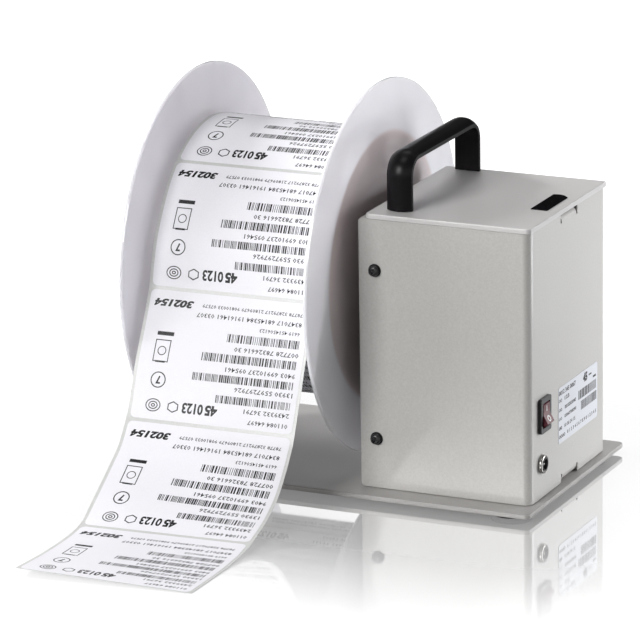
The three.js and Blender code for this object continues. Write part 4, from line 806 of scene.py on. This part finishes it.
# %% One printed label
DIGIT_ROWS = [
    (33.3, 5.9, 62.4, 2.1), (30.6, 11.1, 65.5, 2.7), (70.8, 16.8, 24.9, 2.2), (57.3, 28.8, 39.8, 2.8),
    (54.0, 40.8, 43.0, 2.8), (61.2, 51.8, 35.9, 2.8), (69.0, 63.6, 27.9, 2.7), (72.3, 69.6, 24.6, 2.7)]
BAR_ROWS = [
    (51.0, 21.6, 45.3, 4.8), (37.0, 33.5, 59.4, 4.8), (33.5, 45.5, 63.0, 4.4), (49.4, 57.2, 47.1, 4.4)]
DIGIT_PITCH = 0.78


def plain_number(width, height, chance):
    count = max(4, round(width / (DIGIT_PITCH * height)))
    digits = [str(chance.randrange(10)) for _ in range(count)]
    for gap in range(chance.randrange(4, 8), count - 2, 9):
        digits[gap] = " "
    return "".join(digits)


def printed_label():
    ink = bmesh.new()
    chance = random.Random(11)
    for left, top, width, height in DIGIT_ROWS:
        stamp_digits(ink, plain_number(width, height, chance), left, top, width, height, 0.012)
    for row in BAR_ROWS:
        stamp_bars(ink, *row, chance)
    stamp_digits(ink, "302154", 3.0, 4.9, 24.8, 4.4, 0.05, 0.25, 3)
    stamp_box(ink, 8.5, 24.0, 10.3, 2.25)
    stamp_ring(ink, 13.2, 35.2, 9.6, 13.0, 0.55, 4)
    stamp_ring(ink, 13.2, 35.2, 5.4, 5.4, 0.5)
    stamp_box(ink, 10.2, 41.0, 6.0, 1.1)
    stamp_ring(ink, 13.8, 52.05, 9.4, 9.4, 0.65)
    stamp_digits(ink, "7", 12.3, 49.7, 2.9, 4.7, 0.04, 0.0, 3)
    for width in (2.6, 5.8, 9.4):
        stamp_ring(ink, 12.9, 66.75, width, 0.82 * width, 0.6, 20)
    stamp_ring(ink, 25.3, 66.75, 7.6, 6.8, 0.75, 6)
    stamp_digits(ink, "0123", 31.0, 63.5, 13.0, 6.3, 0.035, 0.0, 3)
    stamp_digits(ink, "45", 45.2, 63.6, 7.6, 6.1, 0.05, 0.0, 3)
    cut_into_cells(ink)
    return ink


def raised(mark, height):
    """Turns a flat mark into a thin closed slab."""
    made = bmesh.ops.extrude_face_region(mark, geom=mark.faces[:])
    lifted = [v for v in made["geom"] if isinstance(v, bmesh.types.BMVert)]
    bmesh.ops.translate(mark, vec=(0, 0, height), verts=lifted)
    return mark


def printed_row(template, first, count, bottom, far_limit=None):
    row = bmesh.new()
    for k in range(first, first + count):
        part = template.copy()
        bmesh.ops.translate(part, vec=(0, k * LABEL_PITCH, bottom - INK_SUNK), verts=part.verts)
        if far_limit:
            cut_off(part, far_limit)
        add_shape(row, part)
    return raised(row, INK_SHEET)


label_template = printed_label()
tail_print = printed_row(label_template, 0, TAIL_LABELS, LINER_SHEET + LABEL_SHEET, PRINT_END)
wrap(tail_print, on_tail)
finish_piece("web_print", tail_print, ribbon_ink, "frame", smooth_below=10)
roll_print = printed_row(label_template, TAIL_LABELS, ROLL_LABELS, LABEL_LIFT + LABEL_SHEET)
wrap(roll_print, on_roll)
finish_piece("roll_print", roll_print, ribbon_ink, "reel", smooth_below=10)
label_template.free()

# %% [markdown]
# The cover is held by pan head screws with a split spring washer and a flat washer, bought as one
# set. The head is spun, and the cross recess is cut into it with a boolean, since it is the one
# detail that says screw from a step away.


# %% Screws with cross recesses
HEAD_STEPS, CROWN_STEPS = 40, 5


def cut_away(shape, cutter):
    """Cuts one closed bmesh out of another and returns the result."""
    for part in (shape, cutter):
        bmesh.ops.recalc_face_normals(part, faces=part.faces)
    pair = [add_mesh_object("cut_from", shape), add_mesh_object("cut_with", cutter)]
    cut = pair[0].modifiers.new("cut", "BOOLEAN")
    cut.operation = "DIFFERENCE"
    cut.solver = "EXACT"
    cut.object = pair[1]
    mesh = evaluated_mesh(pair[0])
    result = bmesh.new()
    result.from_mesh(mesh)
    for piece in pair:
        data = piece.data
        bpy.data.objects.remove(piece)
        bpy.data.meshes.remove(data)
    bpy.data.meshes.remove(mesh)
    return result


def head_section(radius, height):
    """A pan head on the side of -X, from its crown to its seat at x = 0."""
    section = [(-height, 0.0)]
    for i in range(CROWN_STEPS + 1):
        angle = math.pi / 2 * i / CROWN_STEPS
        section.append((-height * (0.45 + 0.55 * math.cos(angle)), radius * (0.5 + 0.5 * math.sin(angle))))
    section += [(-0.08 * height, radius), (0.0, 0.96 * radius), (0.0, 0.0)]
    return section


def place_along(shape, seat, direction):
    """Turns a shape that points along -X so that it points along direction, at its seat."""
    return put(shape, AXIS.rotation_difference(-Vector(direction)).to_matrix(), seat)


def pan_head(radius, height):
    shape = turned(head_section(radius, height), HEAD_STEPS, z=0.0)
    for degrees in (20, 110):
        arm = block((1.1 * height, 1.25 * radius, 0.3 * radius), (-height, 0, 0), degrees)
        shape = cut_away(shape, arm)
    return shape


# %% [markdown]
# The flat washer lies on the sheet. The spring washer on it is a square ring with a slanted slit,
# which shows as a notch from the side, and the head stands on top of both.

# %% Cover screws and their washers
COVER_FACE = 58.5 * MM
COVER_HEAD_RADIUS, COVER_HEAD_HEIGHT = 3.05 * MM, 2.3 * MM
WASHER_BORE, WASHER_EDGE, WASHER_GAP = 1.7 * MM, 0.1 * MM, 0.02 * MM
FLAT_RADIUS, FLAT_SHEET = 3.85 * MM, 0.5 * MM
SPRING_RADIUS, SPRING_SHEET, SPRING_SLIT = 2.9 * MM, 0.65 * MM, 0.35 * MM
HEAD_LIFT = FLAT_SHEET + SPRING_SHEET + 0.03 * MM


def washer_stack():
    flat = [(-FLAT_SHEET, WASHER_BORE), (-FLAT_SHEET, FLAT_RADIUS - WASHER_EDGE),
            (WASHER_EDGE - FLAT_SHEET, FLAT_RADIUS), (0.0, FLAT_RADIUS), (0.0, WASHER_BORE)]
    top, seat = -FLAT_SHEET - SPRING_SHEET, -FLAT_SHEET - WASHER_GAP
    spring = [(top, WASHER_BORE), (top, SPRING_RADIUS), (seat, SPRING_RADIUS), (seat, WASHER_BORE)]
    slit = block((3 * SPRING_SHEET, SPRING_SLIT, 3 * MM), (top, 0, SPRING_RADIUS), 25, "Z")
    stack = cut_away(turned(spring, HEAD_STEPS, z=0.0), slit)
    add_shape(stack, turned(flat, HEAD_STEPS, z=0.0))
    return stack


for node in [n for n in nodes if n.startswith("cover_screw_")]:
    low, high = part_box(node)
    outwards = Vector((0, -1 if "front" in node else 1, 0))
    seat = Vector(((low.x + high.x) / 2, outwards.y * COVER_FACE, (low.z + high.z) / 2))
    head = place_along(pan_head(COVER_HEAD_RADIUS, COVER_HEAD_HEIGHT), seat + outwards * HEAD_LIFT, outwards)
    finish_piece(node + "_head", head, black_oxide, "frame", [node])
    washers = place_along(washer_stack(), seat, outwards)
    finish_piece(node + "_washers", washers, black_oxide, "frame")

# %% [markdown]
# The screws of the flanges, the wall frame, the cover's tab and the handle are plain pan heads.
# Few of them show: some only from below, and the handle's are inside the housing.

# %% Other screws
SCREW_DIRECTIONS = {
    "frame_screw_": (0, 0, -1), "cover_tab_screw": (0, 0, -1), "handle_screw_": (0, 0, -1),
    "inner_flange_screw_": (-1, 0, 0), "outer_flange_screw_": (1, 0, 0)}
# In millimetres, by the radius of the head: the head's height and the thread's radius.
SCREW_SIZES = {3.8: (2.2, 2.0), 3.1: (1.7, 1.5), 2.8: (2.4, 1.5)}
THREAD_TIP = 0.3 * MM


def full_screw(node, direction):
    low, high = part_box(node)
    axis = max(range(3), key=lambda k: abs(direction[k]))
    across = (axis + 1) % 3
    radius = (high[across] - low[across]) / 2
    height, thread = (size * MM for size in SCREW_SIZES[round(radius / MM, 1)])
    tip, crown = (high, low) if direction[axis] < 0 else (low, high)
    seat = (low + high) / 2
    seat[axis] = crown[axis] - direction[axis] * height
    length = abs(tip[axis] - seat[axis])
    shank = [(0.0, 0.0), (0.0, thread), (length - THREAD_TIP, thread), (length, thread - THREAD_TIP),
             (length, 0.0)]
    shape = pan_head(radius, height)
    add_shape(shape, turned(shank, 24, z=0.0))
    return place_along(shape, seat, direction)


for start, direction in SCREW_DIRECTIONS.items():
    for node in [n for n in nodes if n.startswith(start)]:
        slot = node_slots[node]
        finish_piece(node + "_cross_head", full_screw(node, direction), SLOT_FINISH[slot],
                     body_of(node), [node])

# %% [markdown]
# The power switch is a bought rocker in a frame that snaps in. It is moulded in a tinted clear
# plastic with a lamp behind it, and carries a stroke for on and a ring for off. The switch stands
# at on, so the upper half is flush and upright and the lower half slopes out of the frame.

# %% Rocker and its marks
SWITCH_Y, SWITCH_Z = -39 * MM, 52.8 * MM
ROCKER_AXIS_X = 104.4 * MM
ROCKER_NECK = 3.1 * MM
ROCKER_TILT = math.radians(14)
MARK_REACH = 3.1 * MM
MARK_SHEET, MARK_SUNK = 0.06 * MM, 0.02 * MM

rounded("switch_rocker", "switch_rocker_cap", rocker_red, 0.35 * MM, 3)


def on_rocker(mark, along, outwards):
    """Lays a flat mark on one of the two half faces, which meet in a shallow V."""
    valley = Vector((ROCKER_AXIS_X + ROCKER_NECK * math.cos(ROCKER_TILT), SWITCH_Y,
                     SWITCH_Z + ROCKER_NECK * math.sin(ROCKER_TILT)))
    upwards = along if along.z > 0 else -along
    turn = Matrix((Vector((0, 1, 0)), upwards, outwards)).transposed()
    put(mark, turn, valley + along * MARK_REACH - outwards * MARK_SUNK)


stroke, ring = bmesh.new(), bmesh.new()
add_rectangle(stroke, 1.1 * MM, 3.2 * MM)
add_ring(ring, 3.8 * MM, 3.8 * MM, 0.8 * MM, 32)
slope = 2 * ROCKER_TILT
upper_half = Vector((0, 0, 1)), Vector((1, 0, 0))
lower_half = Vector((math.sin(slope), 0, -math.cos(slope))), Vector((math.cos(slope), 0, math.sin(slope)))
for name, mark, half in (("switch_on_mark", stroke, upper_half), ("switch_off_mark", ring, lower_half)):
    on_rocker(raised(mark, MARK_SHEET), *half)
    finish_piece(name, mark, mark_white, "rocker", smooth_below=10)

# %% [markdown]
# The power socket is a round panel jack. A plated nut with a rounded rim holds its black threaded
# sleeve, and the contact pin stands in the middle of the bore.

# %% Power socket
SOCKET_Y, SOCKET_Z = -41.3 * MM, 23.8 * MM
NUT_BACK = 105.3 * MM
socket_back, socket_mouth = (corner.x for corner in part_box("power_socket"))
sleeve_back, sleeve_step = (socket_back - socket_mouth) / MM, 103.5 - socket_mouth / MM
# Each section is in millimetres: how far from its start along X, and how far from the middle.
SOCKET_PARTS = [
    ("socket_nut_plated", nut_plating, "chrome", ["socket_nut"], 48, NUT_BACK,
     [(0, 4.3), (0, 5.5), (1.3, 5.5), (1.7, 5.35), (2, 4.9), (2, 4.6), (1.7, 4.3)]),
    ("socket_sleeve", moulded_black, "black_plastic", ["power_socket"], 40, socket_mouth,
     [(sleeve_back, 0), (sleeve_back, 5.2), (sleeve_step, 5.2), (sleeve_step, 4), (-0.3, 4),
      (0, 3.8), (0, 3.3), (-0.3, 3.1), (-10, 3.1), (-10, 0)]),
    ("socket_pin", nut_plating, "chrome", (), 24, socket_mouth,
     [(-9.98, 0), (-9.98, 1), (-1.5, 1), (-1.15, 0.8), (-1, 0.4), (-1, 0)])]
for name, material, slot, replaced, steps, start, section in SOCKET_PARTS:
    placed = [(start + along * MM, radius * MM) for along, radius in section]
    finish_piece(name, turned(placed, steps, SOCKET_Y, SOCKET_Z), material, "frame", replaced)

# %% [markdown]
# The rating label and the badge stay free of any words. The rating label has rows of plain numbers
# and two bar codes, at the size and places that such a label has.

# %% Rating label and badge
rounded("badge", "badge_plate", badge_film, 0.12 * MM)
RATING_X, RATING_INK = 105.25 * MM, 0.03 * MM
RATING_LEFT, RATING_TOP = -15.9 * MM, 61.2 * MM
RATING_DIGITS = [
    ("0012 345 0067", 0.8, 2.0, 25.8, 2.9, 0.03), ("00", 0.8, 6.9, 4.6, 2.2, 0.01),
    ("123", 9.6, 6.8, 7.0, 2.4, 0.03),
    ("00", 0.8, 12.6, 4.6, 2.0, 0.01), ("0010203040", 9.6, 12.4, 17.4, 2.3, 0.03),
    ("00", 0.8, 18.0, 4.6, 1.9, 0.01), ("05060708090", 9.2, 17.8, 18.2, 2.1, 0.03),
    ("00", 0.8, 23.4, 4.6, 2.2, 0.04), ("10 00 24 15", 9.2, 23.4, 16.6, 2.2, 0.02),
    ("0000", 0.8, 28.5, 9.4, 2.2, 0.02), ("0 1 2 3 4 5 6 7 8 9 0 1 2 3 4 5", 13.4, 28.3, 45.4, 2.2, 0.02),
    ("45", 38.4, 1.6, 6.6, 5.4, 0.06)]
RATING_BARS = [(31.0, 10.1, 28.0, 5.4), (35.0, 17.1, 23.6, 5.4)]


def rating_middle(left, top, width, height):
    return Vector((left + width / 2, -top - height / 2, 0)) * MM


def rating_print():
    ink = bmesh.new()
    chance = random.Random(23)
    for digits, *box, weight in RATING_DIGITS:
        add_digits(ink, digits, Matrix.Translation(rating_middle(*box)), *box[2:], weight, fineness=2)
    boxes = [(54.0, 7.0, 4.6, 1.2), (47.2, 4.2, 4.4, 0.9)]
    for left, top, width, height in RATING_BARS:
        at = left
        while at < left + width:
            bar = chance.choice((0.4, 0.7, 0.7, 1.2))
            boxes.append((at, top, bar, height))
            at += bar + chance.choice((0.35, 0.35, 0.7))
    for left, top, width, height in boxes:
        add_rectangle(ink, width * MM, height * MM, rating_middle(left, top, width, height))
    turn = Matrix(((0, 0, 1), (1, 0, 0), (0, 1, 0)))
    return put(raised(ink, RATING_INK), turn, (RATING_X - INK_SUNK, RATING_LEFT, RATING_TOP))


rating_paper = paper("gloss white polyester label", "#DBDDE3", "#E3E5EB", 0.3, 1.5 * MM)
rounded("rating_label", "rating_label_face", rating_paper, 0.05 * MM)
finish_piece("rating_print", rating_print(), ribbon_ink, "frame", smooth_below=10)

# %% [markdown]
# The studio is a white glossy table in an even room. The table keeps the object's soft shadow and
# its mirror image, which is strong because we look along it at a low angle, and gloss mirrors
# more the lower we look. It fades with the distance from the base plate, as in such a picture.
# A part of the table's whiteness is its own glow, seen by the camera and weakly in reflections,
# so that it adds nothing to the light on the object. The glow is lower close to the base plate,
# where the object keeps the light of a real studio off the table.


# %% Floor
def seen_level(tree, mirrored):
    """One for camera rays, a chosen level for mirror and see-through rays, zero for others."""
    path = add_node(tree, "LightPath").outputs
    bounced = add_node(tree, "Math", operation="MAXIMUM",
                       links={0: path["Is Glossy Ray"], 1: path["Is Transmission Ray"]})
    level = add_node(tree, "Math", {1: mirrored}, {0: bounced}, operation="MULTIPLY")
    return add_node(tree, "Math", links={0: path["Is Camera Ray"], 1: level}, operation="MAXIMUM")


def away_from_base(tree, sideways):
    """How far a point of the table lies outside the base plate, counting X sideways times."""
    low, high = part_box("base_plate")
    middle, half = (low + high) / 2, (high - low) / 2
    steps = [("SUBTRACT", (middle.x, middle.y, 0)), ("ABSOLUTE", (0, 0, 0)),
             ("SUBTRACT", (half.x, half.y, 1.0)), ("MAXIMUM", (0, 0, 0)),
             ("MULTIPLY", (sideways, 1, 0))]
    place = add_node(tree, "TexCoord").outputs["Object"]
    for operation, value in steps:
        place = add_node(tree, "VectorMath", {1: value}, {0: place}, operation=operation)
    return add_node(tree, "VectorMath", links={0: place}, operation="LENGTH").outputs["Value"]


FLOOR_ALBEDO = 0.29
GLOW_NEAR, GLOW_FAR, GLOW_REACH = 0.57, 1.1, 0.37
GLOW_MIRRORED = 0.15
MIRROR_NEAR, MIRROR_FAR, MIRROR_REACH = 0.7, 0.03, 0.23
# What the low angle's share comes to on the table, seen from the camera.
CAMERA_SHARE = 0.52


def table_gloss():
    material = bpy.data.materials.new("white gloss table")
    material.use_nodes = True
    tree = material.node_tree
    tree.nodes.clear()
    matt = add_node(tree, "BsdfDiffuse", {"Color": (FLOOR_ALBEDO,) * 3 + (1,)})
    strength = eased(tree, away_from_base(tree, 2), 0.0, GLOW_REACH, GLOW_NEAR, GLOW_FAR)
    glow_level = add_node(tree, "Math", links={0: seen_level(tree, GLOW_MIRRORED), 1: strength},
                          operation="MULTIPLY")
    glow = add_node(tree, "Emission", links={"Strength": glow_level})
    white = add_node(tree, "AddShader", links={0: matt, 1: glow})
    mirror = add_node(tree, "BsdfGlossy", {"Color": (1, 1, 1, 1), "Roughness": 0.04})
    facing = add_node(tree, "LayerWeight", {"Blend": 0.5}).outputs["Facing"]
    low_angle = add_node(tree, "Math", {1: 2.0}, {0: facing}, operation="POWER")
    sharpness = eased(tree, away_from_base(tree, 1), 0.0, MIRROR_REACH,
                      MIRROR_NEAR / CAMERA_SHARE, MIRROR_FAR)
    share = add_node(tree, "Math", links={0: low_angle, 1: sharpness}, operation="MULTIPLY")
    mix = add_node(tree, "MixShader", links={0: share, 1: white, 2: mirror})
    add_node(tree, "OutputMaterial", links={"Surface": mix})
    return material


floor_shape = bmesh.new()
add_rectangle(floor_shape, 40.0, 40.0, (0, 0, FLOOR_Z - 0.05 * MM))
add_mesh_object("floor", floor_shape, table_gloss())
print("table glow:", GLOW_NEAR, "by the base plate,", GLOW_FAR, "away from it")

# %% [markdown]
# The room is white from the floor to well above the object, and darker overhead, as it is round a
# white sweep. Reflections show that same room, which is what gives black lacquer and plated metal
# their shape. The light that it sheds on the object is set apart from how white it looks.

# %% World
ROOM_LIGHT = 0.05
CEILING_TONE = 0.2
WHITE_MIRRORED = 1.0


def light_world():
    world = bpy.data.worlds.new("white room")
    world.use_nodes = True
    tree = world.node_tree
    tree.nodes.clear()
    direction = add_node(tree, "TexCoord").outputs["Generated"]
    height = add_node(tree, "SeparateXYZ", links={"Vector": direction}).outputs["Z"]
    tone = between(tree, height, (1, 1, 1, 1), (CEILING_TONE,) * 3 + (1,), 0.37, 0.6)
    white = add_node(tree, "Background",
                     links={"Color": tone, "Strength": seen_level(tree, WHITE_MIRRORED)})
    light = add_node(tree, "Background", {"Color": (1, 1, 1, 1), "Strength": ROOM_LIGHT})
    both = add_node(tree, "AddShader", links={0: light, 1: white})
    add_node(tree, "OutputWorld", links={"Surface": both})
    scene.world = world


light_world()
print("world:", scene.world.name)

# %% [markdown]
# A photographer darkens the mirror image in a glossy top with a black card, held up behind the
# object just outside the picture. This one is seen by reflections only, so it never stands in
# front of a camera and casts no shadow.

# %% Black card
CARD_BEHIND, CARD_LOW, CARD_HIGH, CARD_WIDTH = 0.3, 0.215, 0.7, 0.7


def add_card():
    shape = bmesh.new()
    add_rectangle(shape, CARD_WIDTH, CARD_HIGH - CARD_LOW)
    upright, to_camera = Matrix.Rotation(math.pi / 2, 3, "X"), Matrix.Rotation(AZIMUTH, 3, "Z")
    put(shape, upright, (0, CARD_BEHIND, (CARD_LOW + CARD_HIGH) / 2))
    put(shape, to_camera, (0, 0, 0))
    black = blank_material("black card", Base_Color=linear("#0A0A0A"), Roughness=1.0)[0]
    card = add_mesh_object("black_card", shape, black)
    card.visible_camera = card.visible_diffuse = card.visible_shadow = card.visible_transmission = False


add_card()

# %% [markdown]
# Six square softboxes light the object. Each is placed by its angle round the object, from
# straight ahead to the right, its angle above the table, its distance and the side of its square.
# The one in front and the low one at the left light the front, the labels and the acrylic. The
# small near one at the right makes the housing's right side brighter towards the rear. The small
# one at the back left throws the round shadow of the flange on the lid, and the high ones light
# the lid and the base.

# %% Lamps
STUDIO_MIDDLE = Vector((0, 0, 0.1))


def add_softbox(name, around, above, distance, side, power, tone=(1.0, 1.0, 1.0)):
    data = bpy.data.lights.new(name, "AREA")
    data.color, data.shape, data.size, data.energy = tone, "SQUARE", side, power
    turn, rise = math.radians(around), math.radians(above)
    direction = Vector((math.sin(turn) * math.cos(rise), -math.cos(turn) * math.cos(rise), math.sin(rise)))
    lamp = add_object(name, data)
    lamp.location = STUDIO_MIDDLE + direction * distance
    lamp.rotation_euler = direction.to_track_quat("Z", "Y").to_euler()
    print(name, "W:", power)


add_softbox("softbox in front", -15, 25, 2.4, 1.0, 39)
add_softbox("low softbox at the left", -60, 5, 2.4, 1.0, 25)
add_softbox("small softbox at the back left", 258, 32, 2.4, 0.4, 32)
add_softbox("high softbox behind", 200, 50, 2.4, 1.0, 18)
add_softbox("softbox overhead", 0, 75, 2.4, 1.0, 8)
add_softbox("small near softbox at the right", 121, 3, 0.46, 0.25, 1.5, (0.97, 0.98, 1.0))
